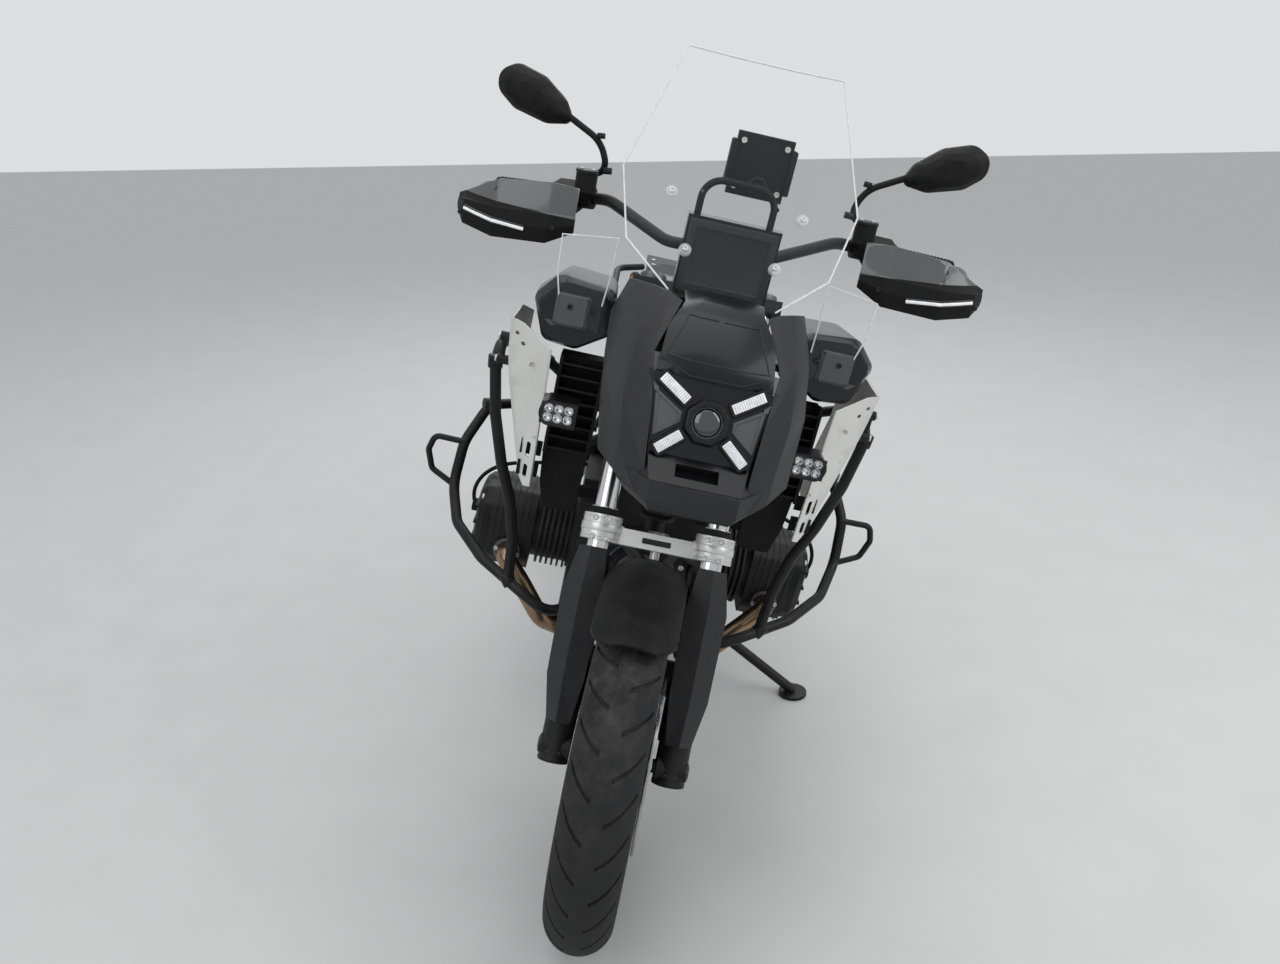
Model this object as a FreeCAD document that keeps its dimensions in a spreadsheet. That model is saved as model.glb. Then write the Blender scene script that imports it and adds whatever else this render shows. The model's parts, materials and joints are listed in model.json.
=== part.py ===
import FreeCAD, Part
import math
import os

import Sketcher
from FreeCAD import Placement, Rotation, Vector

# Adventure motorcycle with a flat twin engine and shaft drive, standing on its side stand.
# All pieces are drawn upright and with straight steering, in millimetres: X to the rider's
# left, Y to the rear from the front axle, Z up from the ground. The last step leans the
# whole, turns the steering to its rest angle and moves the origin below the middle.

sizes = {
    # stance
    "wheelbase": 1518.0,
    "lean": 13.3,
    "steer_rest": -6.4,
    "head_angle": 63.8,
    "axle_ahead": 43.0,
    # front wheel
    "front_radius": 325.0,
    "front_crown": 60.0,
    "front_bead": 241.0,
    "front_rim_half": 42.0,
    "front_disc_radius": 155.0,
    "front_disc_thick": 5.0,
    "front_disc_gap": 62.0,
    "front_hub_radius": 32.0,
    "front_axle_radius": 12.5,
    # rear wheel
    "rear_radius": 318.0,
    "rear_crown": 85.0,
    "rear_bead": 216.0,
    "rear_rim_half": 66.0,
    "rear_disc_radius": 138.0,
    "rear_hub_radius": 50.0,
    "tyre_wall": 11.0,
    "rim_wall": 6.0,
    "spoke_wide": 22.0,
    "spoke_deep": 26.0,
    # fork
    "leg_apart": 205.0,
    "leg_ahead": 40.0,
    "leg_radius": 29.0,
    "tube_radius": 20.5,
    "collar_radius": 35.0,
    "collar_high": 46.0,
    "yoke_thick": 26.0,
    "bar_radius": 14.0,
    "grip_radius": 17.0,
    "grip_long": 118.0,
    "stalk_radius": 6.0,
    # engine
    "case_half": 150.0,
    "cylinder_height": 478.0,
    "cylinder_back": 575.0,
    "barrel_radius": 72.0,
    "fin_radius": 86.0,
    "fin_thick": 5.0,
    "fin_pitch": 12.0,
    "fin_count": 6.0,
    "barrel_long": 86.0,
    "head_long": 92.0,
    "cover_long": 34.0,
    "pipe_radius": 20.0,
    "silencer_radius": 58.0,
    "silencer_long": 380.0,
    # frame and rear
    "frame_tube": 17.0,
    "rail_tube": 12.0,
    "guard_tube": 11.0,
    "arm_tube": 36.0,
    "arm_side": 134.0,
    "pivot_back": 925.0,
    "pivot_height": 425.0,
    "spring_radius": 34.0,
    "spring_wire": 6.0,
    "damper_radius": 22.0,
    # bodywork
    "screen_thick": 4.0,
    "hoop_radius": 6.0,
    "rack_hole": 3.2,
    "rack_pcd": 120.0,
    "rack_thick": 8.0,
    # side stand
    "stand_leg": 12.0,
    "stand_foot": 34.0,
    "stand_sole": 8.0,
    "clearance": 0.3,
}

doc = FreeCAD.newDocument("motorcycle")
sheet = doc.addObject("Spreadsheet::Sheet", "Sizes")
for row, (alias, number) in enumerate(sizes.items(), start=1):
    sheet.set("A%d" % row, alias)
    sheet.set("B%d" % row, repr(number))
    sheet.setAlias("B%d" % row, alias)
doc.recompute()


def amount(term):
    """The value of a size: a number, a cell's name, its name with a minus, or a sum of these."""
    if isinstance(term, tuple):
        return sum(amount(part) for part in term)
    if isinstance(term, str):
        return -amount(term[1:]) if term[0] == "-" else float(sheet.get(term))
    return float(term)


def formula(term):
    """The same size as an expression on the sheet's cells."""
    if isinstance(term, tuple):
        return " + ".join("(%s)" % formula(part) for part in term)
    if isinstance(term, str):
        return "-Sizes." + term[1:] if term[0] == "-" else "Sizes." + term
    return repr(float(term))


def bind(item, name, term):
    item.setExpression(name, formula(term))
    return item


def turned(direction):
    """A rotation that points a piece's own Z along a direction."""
    return Rotation(Vector(0, 0, 1), Vector(*direction))


def box(name, corner, long, wide, high, rotation=Rotation()):
    block = doc.addObject("Part::Box", name)
    bind(block, "Length", long)
    bind(block, "Width", wide)
    bind(block, "Height", high)
    block.Placement = Placement(Vector(*corner), rotation)
    return block


def rod(name, start, direction, radius, long):
    bar = doc.addObject("Part::Cylinder", name)
    bind(bar, "Radius", radius)
    bind(bar, "Height", long)
    bar.Placement = Placement(Vector(*start), turned(direction))
    return bar


def rod_between(name, start, end, radius):
    first, last = Vector(*start), Vector(*end)
    return rod(name, first, last - first, radius, (last - first).Length)


def cone(name, start, direction, radius, radius_end, long):
    piece = doc.addObject("Part::Cone", name)
    bind(piece, "Radius1", radius)
    bind(piece, "Radius2", radius_end)
    bind(piece, "Height", long)
    piece.Placement = Placement(Vector(*start), turned(direction))
    return piece


def fused(name, parts):
    if len(parts) == 1:
        return parts[0]
    whole = doc.addObject("Part::MultiFuse", name)
    whole.Shapes = parts
    return whole


def cut(name, base, tool):
    rest = doc.addObject("Part::Cut", name)
    rest.Base = base
    rest.Tool = tool
    return rest


def mirrored(name, source):
    image = doc.addObject("Part::Mirroring", name)
    image.Source = source
    image.Normal = Vector(1, 0, 0)
    return image


def grouped(name, parts):
    """Like pieces that share a node without touching."""
    group = doc.addObject("Part::Compound", name)
    group.Links = parts
    return group


def shaped(name, shape):
    piece = doc.addObject("Part::Feature", name)
    piece.Shape = shape
    return piece


def bend_at(before, corner, after, radius):
    """Start, crown and end of the tangent arc at a corner, as large as its runs allow."""
    back, ahead = before - corner, after - corner
    half = back.getAngle(ahead) / 2
    reach = min(radius / math.tan(half), 0.45 * back.Length, 0.45 * ahead.Length)
    back.normalize()
    ahead.normalize()
    own = reach * math.tan(half)
    crown = corner + (back + ahead).normalize() * (own / math.sin(half) - own)
    return corner + back * reach, crown, corner + ahead * reach


def bent_path(points, bend):
    """Straight runs joined by tangent arcs."""
    knots = [Vector(*point) for point in points]
    edges = []
    last = knots[0]
    for before, corner, after in zip(knots, knots[1:], knots[2:]):
        enter, crown, leave = bend_at(before, corner, after, bend)
        edges.append(Part.makeLine(last, enter))
        edges.append(Part.Arc(enter, crown, leave).toShape())
        last = leave
    edges.append(Part.makeLine(last, knots[-1]))
    return Part.Wire(edges)


def rounded(corners, radius):
    """A closed outline of straight runs with an arc at each corner."""
    knots = [Vector(*point) for point in corners]
    bends = [bend_at(knots[index - 1], corner, knots[(index + 1) % len(knots)], radius)
             for index, corner in enumerate(knots)]
    edges = []
    for (enter, crown, leave), following in zip(bends, bends[1:] + bends[:1]):
        edges.append(Part.Arc(enter, crown, leave).toShape())
        edges.append(Part.makeLine(leave, following[0]))
    return Part.Wire(edges)


def tube(name, points, bend, radius):
    """A bent round tube: a circle swept along straight runs and arcs."""
    path = shaped(name + "_path", bent_path(points, bend))
    ring = doc.addObject("Part::Circle", name + "_ring")
    bind(ring, "Radius", radius)
    first, second = Vector(*points[0]), Vector(*points[1])
    ring.Placement = Placement(first, turned(second - first))
    sweep = doc.addObject("Part::Sweep", name)
    sweep.Sections = [ring]
    sweep.Spine = (path, ["Edge%d" % (n + 1) for n in range(len(path.Shape.Edges))])
    sweep.Solid = True
    sweep.Frenet = False
    return sweep


def side_tube(name, side, points, bend, radius):
    return tube(name, [(side * x, y, z) for x, y, z in points], bend, radius)


def plane_of(body, role):
    return [item for item in body.Origin.OriginFeatures if item.Role == role][0]


def draw(body, role, name, points, arcs=None):
    """A closed sketch through points given as sizes, with arcs of a signed radius."""
    sketch = body.newObject("Sketcher::SketchObject", name)
    sketch.AttachmentSupport = [(plane_of(body, role), "")]
    sketch.MapMode = "FlatFace"
    arcs = arcs or {}
    knots = [Vector(amount(u), amount(v), 0) for u, v in points]
    ends = []
    for index, start in enumerate(knots):
        end = knots[(index + 1) % len(knots)]
        if index in arcs:
            radius = amount(arcs[index][0])
            side = arcs[index][1]
            chord = end - start
            height = math.sqrt(radius * radius - chord.Length * chord.Length / 4)
            normal = Vector(-chord.y, chord.x, 0).normalize()
            centre = (start + end) * 0.5 - normal * (height * side)
            top = centre + normal * (radius * side)
            sketch.addGeometry(Part.Arc(start, top, end), False)
            flip = (sketch.getPoint(index, 1) - start).Length > 1e-6
            ends.append((2, 1) if flip else (1, 2))
        else:
            sketch.addGeometry(Part.LineSegment(start, end), False)
            ends.append((1, 2))
    for index, (u, v) in enumerate(points):
        following = (index + 1) % len(points)
        own = ends[index]
        sketch.addConstraint(Sketcher.Constraint(
            "Coincident", index, own[1], following, ends[following][0]))
        for kind, term, axis in (("DistanceX", u, -2), ("DistanceY", v, -1)):
            value = amount(term)
            if value == 0:
                sketch.addConstraint(Sketcher.Constraint("PointOnObject", index, own[0], axis))
            else:
                at = sketch.addConstraint(Sketcher.Constraint(kind, -1, 1, index, own[0], value))
                sketch.setExpression("Constraints[%d]" % at, formula(term))
        if index in arcs:
            at = sketch.addConstraint(Sketcher.Constraint("Radius", index, amount(arcs[index][0])))
            sketch.setExpression("Constraints[%d]" % at, formula(arcs[index][0]))
    return sketch


def revolved(name, points, arcs=None, angle=360.0):
    """A body turned about X from a section of (side, radius) points."""
    body = doc.addObject("PartDesign::Body", name)
    sketch = draw(body, "XY_Plane", name + "_section", points, arcs)
    turn = body.newObject("PartDesign::Revolution", name + "_turn")
    turn.Profile = sketch
    turn.ReferenceAxis = (sketch, ["H_Axis"])
    turn.Angle = angle
    return body


def padded(name, role, points, thick, arcs=None, middle=True):
    """A flat body padded from an outline on one of its planes."""
    body = doc.addObject("PartDesign::Body", name)
    sketch = draw(body, role, name + "_outline", points, arcs)
    pad = body.newObject("PartDesign::Pad", name + "_pad")
    pad.Profile = sketch
    bind(pad, "Length", thick)
    pad.Midplane = middle
    return body


def facets(name, rows, push):
    """A folded sheet: flat facets, each a list of corners, thickened along one direction."""
    faces = [Part.Face(Part.makePolygon([Vector(*p) for p in row] + [Vector(*row[0])]))
             for row in rows]
    solids = [face.extrude(Vector(*push)) for face in faces]
    whole = solids[0]
    if len(solids) > 1:
        whole = solids[0].fuse(solids[1:])
    return shaped(name, whole.removeSplitter())


def lofted(name, sections, radius=0.0):
    """A solid through closed sections of corners, joined by lines or rounded by arcs."""
    if radius:
        wires = [rounded(row, radius) for row in sections]
    else:
        wires = [Part.makePolygon([Vector(*p) for p in row] + [Vector(*row[0])])
                 for row in sections]
    return shaped(name, Part.makeLoft(wires, True, True))


# Stance: the steering axis, both axles and the placements of the moving groups.
lean = math.radians(amount("lean"))
head = math.radians(amount("head_angle"))
axis_up = Vector(0, math.cos(head), math.sin(head))
axis_ahead = Vector(0, -math.sin(head), math.cos(head))


def axle_height(radius, crown):
    """The axle's height, upright, at which the leaning tyre's round crown meets the ground."""
    return radius - crown + crown / math.cos(lean)


rear_axle = Vector(0, amount("wheelbase"), axle_height(amount("rear_radius"), amount("rear_crown")))
front_axle = Vector(0, 0, axle_height(amount("front_radius"), amount("front_crown")))
lean_turn = Rotation(Vector(0, 1, 0), amount("lean"))
steer_turn = Rotation(axis_up, amount("steer_rest"))
axis_foot = front_axle - axis_ahead * amount("axle_ahead")


def front_drop():
    """How far the turned front tyre's lowest point lies above the ground."""
    place = Placement(Vector(), lean_turn) * Placement(Vector(), steer_turn, axis_foot)
    centre = place.multVec(front_axle)
    spin = place.Rotation.multVec(Vector(1, 0, 0))
    reach = (amount("front_radius") - amount("front_crown")) * math.sqrt(1 - spin.z * spin.z)
    return centre.z - reach - amount("front_crown")


drop = front_drop() / math.cos(lean)
front_axle = front_axle - Vector(0, 0, drop)
axis_foot = front_axle - axis_ahead * amount("axle_ahead")


def on_axis(height, ahead=0.0, side=0.0):
    """A point beside the steering axis, given the height of the axis point."""
    point = axis_foot + axis_up * ((height - axis_foot.z) / axis_up.z)
    return point + axis_ahead * ahead + Vector(side, 0, 0)


leg_side = amount("leg_apart") / 2
nodes = []


def node(label, group, piece):
    """Registers a piece, so that the piece itself keeps its upright place for its neighbours."""
    placed = grouped("node_" + label, [piece])
    placed.Label = label
    nodes.append((label, group, placed))
    return piece


def pair(label, group, left):
    """A left piece and its mirror image on the right."""
    node(label + "_left", group, left)
    node(label + "_right", group, mirrored(label + "_mirror", left))


def both(label, group, left):
    """A left piece and its mirror image in one node."""
    node(label, group, grouped(label, [left, mirrored(label + "_mirror", left)]))


# Wheels.
def tyre(name, radius, crown, bead, rim_half, wall):
    inner = (radius, "-" + wall)
    shoulder = (radius, "-" + crown, 12.0)
    half = math.sqrt(amount(crown) ** 2 - 12.0 ** 2)
    inner_crown = amount(crown) - amount(wall)
    inner_half = math.sqrt(inner_crown ** 2 - 12.0 ** 2)
    lip = (rim_half, "-rim_wall", "-clearance")
    bead_in = (rim_half, "-rim_wall", "-clearance", -9.0)
    lip_other = ("-" + rim_half, "rim_wall", "clearance")
    bead_other = ("-" + rim_half, "rim_wall", "clearance", 9.0)
    points = [
        (-half, shoulder), (half, shoulder), (lip, (bead, 9.0)), (lip, bead), (bead_in, bead),
        (inner_half, shoulder), (-inner_half, shoulder), (bead_other, bead), (lip_other, bead),
        (lip_other, (bead, 9.0)),
    ]
    arcs = {0: (crown, 1), 5: ((crown, "-" + wall), -1)}
    return revolved(name, points, arcs)


def rim(name, bead, rim_half, hub_radius, hub_half, spokes, reach_in):
    """A cast wheel: barrel, hub and paired spokes in one piece."""
    wall = "rim_wall"
    barrel = revolved(name + "_barrel", [
        ("-" + rim_half, (bead, 8.0)), (("-" + rim_half, wall), (bead, 8.0)),
        (("-" + rim_half, wall), (bead, "-clearance")),
        (("-" + rim_half, 20.0), (bead, "-clearance")), (("-" + rim_half, 26.0), (bead, -12.0)),
        ((rim_half, -26.0), (bead, -12.0)), ((rim_half, -20.0), (bead, "-clearance")),
        ((rim_half, "-" + wall), (bead, "-clearance")), ((rim_half, "-" + wall), (bead, 8.0)),
        (rim_half, (bead, 8.0)), (rim_half, (bead, -10.0)), ((rim_half, -18.0), (bead, -20.0)),
        (("-" + rim_half, 18.0), (bead, -20.0)), ("-" + rim_half, (bead, -10.0)),
    ])
    hub = revolved(name + "_hub", [
        (-hub_half, "front_axle_radius"), (hub_half, "front_axle_radius"),
        (hub_half, hub_radius), (-hub_half, hub_radius),
    ])
    parts = [barrel, hub]
    root = (amount("spoke_wide") / 2 + 4.0, amount("spoke_deep") / 2 + 2.0)
    tip = (amount("spoke_wide") / 2 - 3.0, amount("spoke_deep") / 2 - 4.0)
    long = amount(bead) - 14.0 - reach_in
    for index in range(spokes):
        for lean_over in (-12.0, 12.0):
            spoke = lofted("%s_spoke%d_%d" % (name, index, lean_over > 0), [
                [(-wide, -deep, up), (wide, -deep, up), (wide, deep, up), (-wide, deep, up)]
                for (wide, deep), up in ((root, 0.0), (tip, long))])
            around = Rotation(Vector(1, 0, 0), 360.0 * index / spokes)
            tilt = Rotation(Vector(1, 0, 0), lean_over)
            spoke.Placement = (Placement(Vector(), around)
                               * Placement(Vector(0, 0, reach_in), tilt))
            parts.append(spoke)
    return fused(name, parts)


node("front_tyre", "front_wheel",
     tyre("front_tyre", "front_radius", "front_crown", "front_bead", "front_rim_half", "tyre_wall"))
node("front_rim", "front_wheel",
     rim("front_rim", "front_bead", "front_rim_half", "front_hub_radius", 52.0, 5, 24.0))
node("rear_tyre", "rear_wheel",
     tyre("rear_tyre", "rear_radius", "rear_crown", "rear_bead", "rear_rim_half", "tyre_wall"))
node("rear_rim", "rear_wheel",
     rim("rear_rim", "rear_bead", "rear_rim_half", "rear_hub_radius", 60.0, 5, 40.0))


def disc(name, side_in, radius, inner, seat, thick):
    """A brake disc: a flat ring on a thin carrier that reaches the hub."""
    ring = revolved(name + "_ring", [
        (side_in, (radius, -34.0)), ((side_in, thick), (radius, -34.0)),
        ((side_in, thick), radius), (side_in, radius),
    ])
    carrier = revolved(name + "_carrier", [
        (seat, inner), ((side_in, thick), inner), ((side_in, thick), (inner, 14.0)),
        ((side_in, thick), (radius, -30.0)), (side_in, (radius, -30.0)), (seat, (inner, 14.0)),
    ])
    return fused(name, [ring, carrier])


disc_left = disc("disc_left", "front_disc_gap", "front_disc_radius",
                 ("front_hub_radius", -8.0), 52.0, "front_disc_thick")
both("front_discs", "front_wheel", disc_left)
node("rear_disc", "rear_wheel",
     disc("rear_disc", 66.0, "rear_disc_radius", ("rear_hub_radius", -12.0), 60.0,
          "front_disc_thick"))

# Fork and what turns with it.
def leg_point(height, side, ahead=0.0):
    return on_axis(height, amount("leg_ahead") + ahead, side * leg_side)


collar_base = front_axle.z + amount("front_radius") - 13.46
slider_top = collar_base - 20.0
slider = rod_between("slider", leg_point(285.0, 1), leg_point(slider_top, 1), "leg_radius")
axle_lug = rod("axle_lug", front_axle + Vector(leg_side - 26.0, 0, 0), (1, 0, 0), 24.0, 48.0)
slider_body = fused("slider_body", [slider, axle_lug])
axle_bar = rod("axle_bar", front_axle - Vector(leg_side - 10.0, 0, 0), (1, 0, 0),
               ("front_axle_radius", "-clearance"), 2 * leg_side - 20.0)
node("fork_sliders", "steering",
     fused("fork_sliders", [slider_body, mirrored("slider_mirror", slider_body), axle_bar]))
both("fork_tubes", "steering",
     rod_between("fork_tube", leg_point(slider_top, 1) + axis_up * amount("clearance"),
                 leg_point(1085.0, 1), "tube_radius"))


collars = []
for side in (1, -1):
    start = leg_point(collar_base, side)
    collars.append(rod("collar%d" % side, start, axis_up, "collar_radius", "collar_high"))
bridge = box("bridge_bar", (0, 0, 0), ("leg_apart", -40.0), 70.0, 30.0)
steer_frame = Rotation(Vector(1, 0, 0), amount("head_angle") - 90.0)
bridge.Placement = Placement(on_axis(collar_base, 42.0, -(leg_side - 20.0)), steer_frame)
bridge_nose = box("bridge_nose", (0, 0, 0), 70.0, 20.0, 22.0)
bridge_nose.Placement = Placement(on_axis(collar_base, -2.0, -35.0), steer_frame)
stud = rod("bridge_stud", on_axis(collar_base - 40.0), axis_up, 9.0, 50.0)
bores = fused("bridge_bores", [
    rod("bridge_bore%d" % side, leg_point(collar_base - 30.0, side), axis_up,
        ("tube_radius", "clearance"), 160.0) for side in (1, -1)])
node("fork_bridge", "steering",
     cut("fork_bridge_cut", fused("fork_bridge_solid", collars + [bridge, bridge_nose, stud]),
         bores))

# Upper yoke, clamps and handlebar.
yoke_base = 1050.0
yoke_bar = box("yoke_bar", (0, 0, 0), ("leg_apart", 70.0), 62.0, "yoke_thick")
yoke_bar.Placement = Placement(on_axis(yoke_base, 66.0, -(leg_side + 35.0)), steer_frame)
yoke_mid = box("yoke_mid", (0, 0, 0), 90.0, 80.0, "yoke_thick")
yoke_mid.Placement = Placement(on_axis(yoke_base, 40.0, -45.0), steer_frame)
risers = [rod("riser%d" % side, on_axis(yoke_base + 20.0, 22.0, side * 42.0), axis_up, 17.0,
              104.0) for side in (1, -1)]
risers.append(rod("yoke_stem", on_axis(yoke_base - 84.0), axis_up, 14.0, 100.0))
yoke_bores = fused("yoke_bores", [
    rod("yoke_bore%d" % side, leg_point(yoke_base - 30.0, side), axis_up,
        ("tube_radius", "clearance"), 120.0) for side in (1, -1)])
yoke = cut("upper_yoke", fused("upper_yoke_solid", [yoke_bar, yoke_mid] + risers), yoke_bores)

bar_mid = on_axis(yoke_base + 100.0, 22.0)
bar_half = [
    (0.0, bar_mid.y, bar_mid.z), (95.0, bar_mid.y, bar_mid.z),
    (215.0, bar_mid.y + 42.0, bar_mid.z + 48.0), (440.0, bar_mid.y + 98.0, bar_mid.z + 30.0),
]
bar_line = [(-x, y, z) for x, y, z in reversed(bar_half[1:])] + bar_half[1:]
node("handlebar", "steering",
     fused("handlebar", [yoke, tube("bar_tube", bar_line, 60.0, ("bar_radius", -3.0))]))
way = (Vector(*bar_half[3]) - Vector(*bar_half[2])).normalize()
end = Vector(*bar_half[3])
inward = end - way * (amount("grip_long") + 5.0)
lever_clamp = inward - way * 52.0
clamp_mid = lever_clamp - way * 12.0
switch = box("switch", (-24, -26, 0), 48.0, 46.0, 52.0)
switch.Placement = Placement(inward, turned(way * -1)) * switch.Placement
lever_line = [clamp_mid + Vector(0, -40.0, 18.0), lever_clamp + way * 30.0 + Vector(0, -62.0, 4.0),
              end - way * 60.0 + Vector(0, -66.0, -6.0), end - way * 6.0 + Vector(0, -58.0, -8.0)]
grip_parts = [
    rod("grip_rubber", end + way * 2.0, way * -1, "grip_radius", "grip_long"),
    rod("grip_flange", end - way * amount("grip_long"), way * -1, 22.0, 6.0),
    switch,
    rod("lever_clamp", lever_clamp, way * -1, 21.0, 24.0),
    rod("lever_pot", clamp_mid + Vector(0, -46.0, 14.0), (0, 0, 1), 20.0, 34.0),
    rod_between("lever_clamp_arm", clamp_mid, clamp_mid + Vector(0, -46.0, 26.0), 12.0),
    tube("lever_blade", [tuple(point) for point in lever_line], 40.0, 7.0),
]
pair("grip", "steering",
     cut("grip_cut", fused("grip_solid", grip_parts),
         rod("grip_bore", end - way * 240.0, way, ("bar_radius", -2.95), 240.0)))


def sheet_of(name, rows, push):
    """A folded sheet through rows of corners, each four-sided field split into two facets."""
    corners = []
    for first, second in zip(rows, rows[1:]):
        for a, b, c, d in zip(first, first[1:], second[1:], second):
            corners += [[a, b, c], [a, c, d]]
    return facets(name, corners, push)


# Hand guard: a thick lower shell and a thin deflector above it, on a stay from the bar's end.
guard_out = [  # side, back, low, high, top of the deflector, its back
    (264.0, 396.0, 1146.0, 1176.0, 1226.0, 410.0), (312.0, 386.0, 1121.0, 1176.0, 1229.0, 404.0),
    (412.0, 382.0, 1116.0, 1172.0, 1219.0, 404.0), (474.0, 406.0, 1127.0, 1172.0, 1186.0, 428.0),
    (494.0, 440.0, 1146.0, 1168.0, 1176.0, 446.0)]
guard_wires = []
for out, back, low, high, top, top_back in guard_out:
    guard_wires.append([(out, back, low), (out, back - 4.0, (low + high) / 2), (out, back, high),
                        (out, back + 13.0, high), (out, back + 11.0, (low + high) / 2),
                        (out, back + 13.0, low)])
guard_shell = lofted("hand_shell", guard_wires, 3.0)
guard_visor = lofted("hand_visor", [
    [(out, back + 2.0, high - 5.0), (out, top_back, top), (out, top_back + 3.0, top),
     (out, back + 6.0, high - 5.0)] for out, back, low, high, top, top_back in guard_out])
guard_stay = tube("hand_stay", [tuple(end + way * 2.3), tuple(end + way * 26.0),
                                (484.0, 446.0, 1150.0)], 12.0, 9.0)
pair("hand_guard", "steering", fused("hand_guard", [guard_shell, guard_visor, guard_stay]))

# Mirror: an almond shell on a curved stalk from the lever clamp.
rise = (Vector(0, 0, 1) - way * way.z).normalize()
stalk = tube("mirror_stalk", [
    tuple(clamp_mid + rise * 21.3), tuple(clamp_mid + rise * 40.0), (226.0, 458.0, 1262.0),
    (246.0, 464.0, 1310.0), (320.0, 476.0, 1346.0)], 70.0, "stalk_radius")
mirror_line = [(-86.0, -6.0), (-40.0, -33.0), (24.0, -41.0), (68.0, -27.0), (80.0, 4.0),
               (56.0, 33.0), (0.0, 38.0), (-54.0, 22.0)]
mirror_turn = math.radians(22.0)
shell_wires = []
for depth, share in ((-32.0, 0.42), (-24.0, 0.74), (-8.0, 0.97), (6.0, 1.0), (9.0, 0.96)):
    shell_wires.append([
        (378.0 + share * (u * math.cos(mirror_turn) - v * math.sin(mirror_turn)), 474.0 + depth,
         1368.0 + share * (u * math.sin(mirror_turn) + v * math.cos(mirror_turn)))
        for u, v in mirror_line])
pair("mirror", "steering",
     fused("mirror", [stalk, lofted("mirror_shell", shell_wires, 30.0)]))

# Front mudguard: a crowned shell turned about the axle and trimmed round, on ears from the
# fork legs.
fender_half = 70.0
fender_shell = revolved("fender_shell", [
    (-fender_half, ("front_radius", -3.0)), (fender_half, ("front_radius", -3.0)),
    (fender_half, ("front_radius", -11.0)), (-fender_half, ("front_radius", -11.0))],
    {0: (93.0, 1), 2: (88.0, -1)}, 56.0)
fender_shell.Placement = Placement(front_axle, Rotation(Vector(1, 0, 0), 64.0))
fender_outline = padded("fender_outline", "XY_Plane", [
    (-68.0, 152.0), (68.0, 152.0), (72.0, 96.0), (72.0, -70.0), (40.0, -152.0), (-40.0, -152.0),
    (-72.0, -70.0), (-72.0, 96.0)], 300.0, {3: (100.0, 1), 4: (220.0, 1), 5: (100.0, 1)})
fender_outline.Placement = Placement(front_axle + Vector(0, 0, 300.0), Rotation())
fender = doc.addObject("Part::MultiCommon", "fender_skin")
fender.Shapes = [fender_shell, fender_outline]
arms = []
ear = leg_point(collar_base - 65.0, 1)
ear_x = fender_half - 1.0
for side in (1, -1):
    arms.append(rod_between("fender_ear%d" % side, front_axle + Vector(side * ear_x, 120.0, 294.0),
                            (side * ear_x, ear.y, ear.z - 4.0), 4.0))
    arms.append(rod("fender_boss%d" % side, (side * (ear_x - 4.0), ear.y, ear.z), (side, 0, 0),
                    8.0, leg_side - ear_x + 4.0 - amount("leg_radius") - amount("clearance")))
node("front_mudguard", "steering", fused("front_mudguard", [fender] + arms))

guard_rows = []
for height, wide in ((350.0, 30.0), (420.0, 46.0), (560.0, 50.0), (628.0, 34.0)):
    at = leg_point(height, 1, amount("leg_radius") + 12.0)
    guard_rows.append([
        (leg_side - wide * 0.6, at.y, at.z), (leg_side + wide * 0.2, at.y - 6.0, at.z + 3.0),
        (leg_side + wide * 0.9, at.y + 22.0, at.z - 11.0)])
guard_stud = rod("guard_stud", leg_point(480.0, 1, amount("leg_radius") + amount("clearance")),
                 axis_ahead, 8.0, 12.5)
both("fork_guards", "steering",
     fused("fork_guard", [sheet_of("guard_sheet", guard_rows, axis_ahead * -3.0), guard_stud]))

caliper_mid = front_axle + Vector(amount("front_disc_gap") + 8.0, 118.0, 62.0)
caliper = box("caliper_block", (-28.0, -38.0, -70.0), 56.0, 76.0, 140.0)
caliper.Placement = (Placement(caliper_mid, Rotation(Vector(1, 0, 0), -28.0))
                     * caliper.Placement)
caliper_bracket = rod_between("caliper_bracket", caliper_mid + Vector(20.0, 0, 0),
                              leg_point(420.0, 1) + Vector(0, 20.0, 0), 12.0)
caliper_room = [
    rod("caliper_slot", front_axle + Vector(amount("front_disc_gap") - 4.0, 0, 0), (1, 0, 0),
        ("front_disc_radius", 4.0), 13.0),
    rod("caliper_carrier_room", front_axle, (1, 0, 0), ("front_disc_radius", -26.0), 71.0),
    rod("caliper_rim_room", front_axle - Vector(60.0, 0, 0), (1, 0, 0), 210.0, 107.0),
    rod("caliper_leg_room", leg_point(285.0, 1), axis_up, ("leg_radius", "clearance"), 400.0),
]
both("front_calipers", "steering",
     cut("caliper_cut", fused("caliper_solid", [caliper, caliper_bracket]),
         fused("caliper_tool", caliper_room)))

# Flat twin engine: crankcase with front cover, finned barrels, heads and covers.
crankcase = padded("crankcase", "YZ_Plane", [
    (455.0, 330.0), (455.0, 600.0), (485.0, 640.0), (720.0, 640.0), (800.0, 560.0),
    (880.0, 520.0), (880.0, 350.0), (820.0, 300.0), (520.0, 292.0)],
    ("case_half", "case_half"))
side_covers = [cone("side_cover%d" % side, (side * amount("case_half"), 770.0, 430.0),
                    (side, 0, 0), 72.0, 62.0, 11.0) for side in (1, -1)]
side_covers += [rod("side_boss%d" % side, (side * (amount("case_half") + 10.5), 770.0, 430.0),
                    (side, 0, 0), 34.0, 4.0) for side in (1, -1)]
airbox = lofted("airbox", [
    [(-half, back, low), (half, back, low), (half, back, high - 26.0), (half - 24.0, back, high),
     (24.0 - half, back, high), (-half, back, high - 26.0)]
    for back, low, high, half in ((532.0, 634.0, 748.0, 68.0), (640.0, 634.0, 792.0, 72.0),
                                  (720.0, 634.0, 786.0, 70.0), (800.0, 570.0, 752.0, 64.0))],
                12.0)
front_cover = [rod("front_cover", (0, 455.0, 470.0), (0, -1, 0), 99.0, 12.0),
               rod("front_boss", (0, 443.0, 470.0), (0, -1, 0), 62.0, 9.0)]

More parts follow.
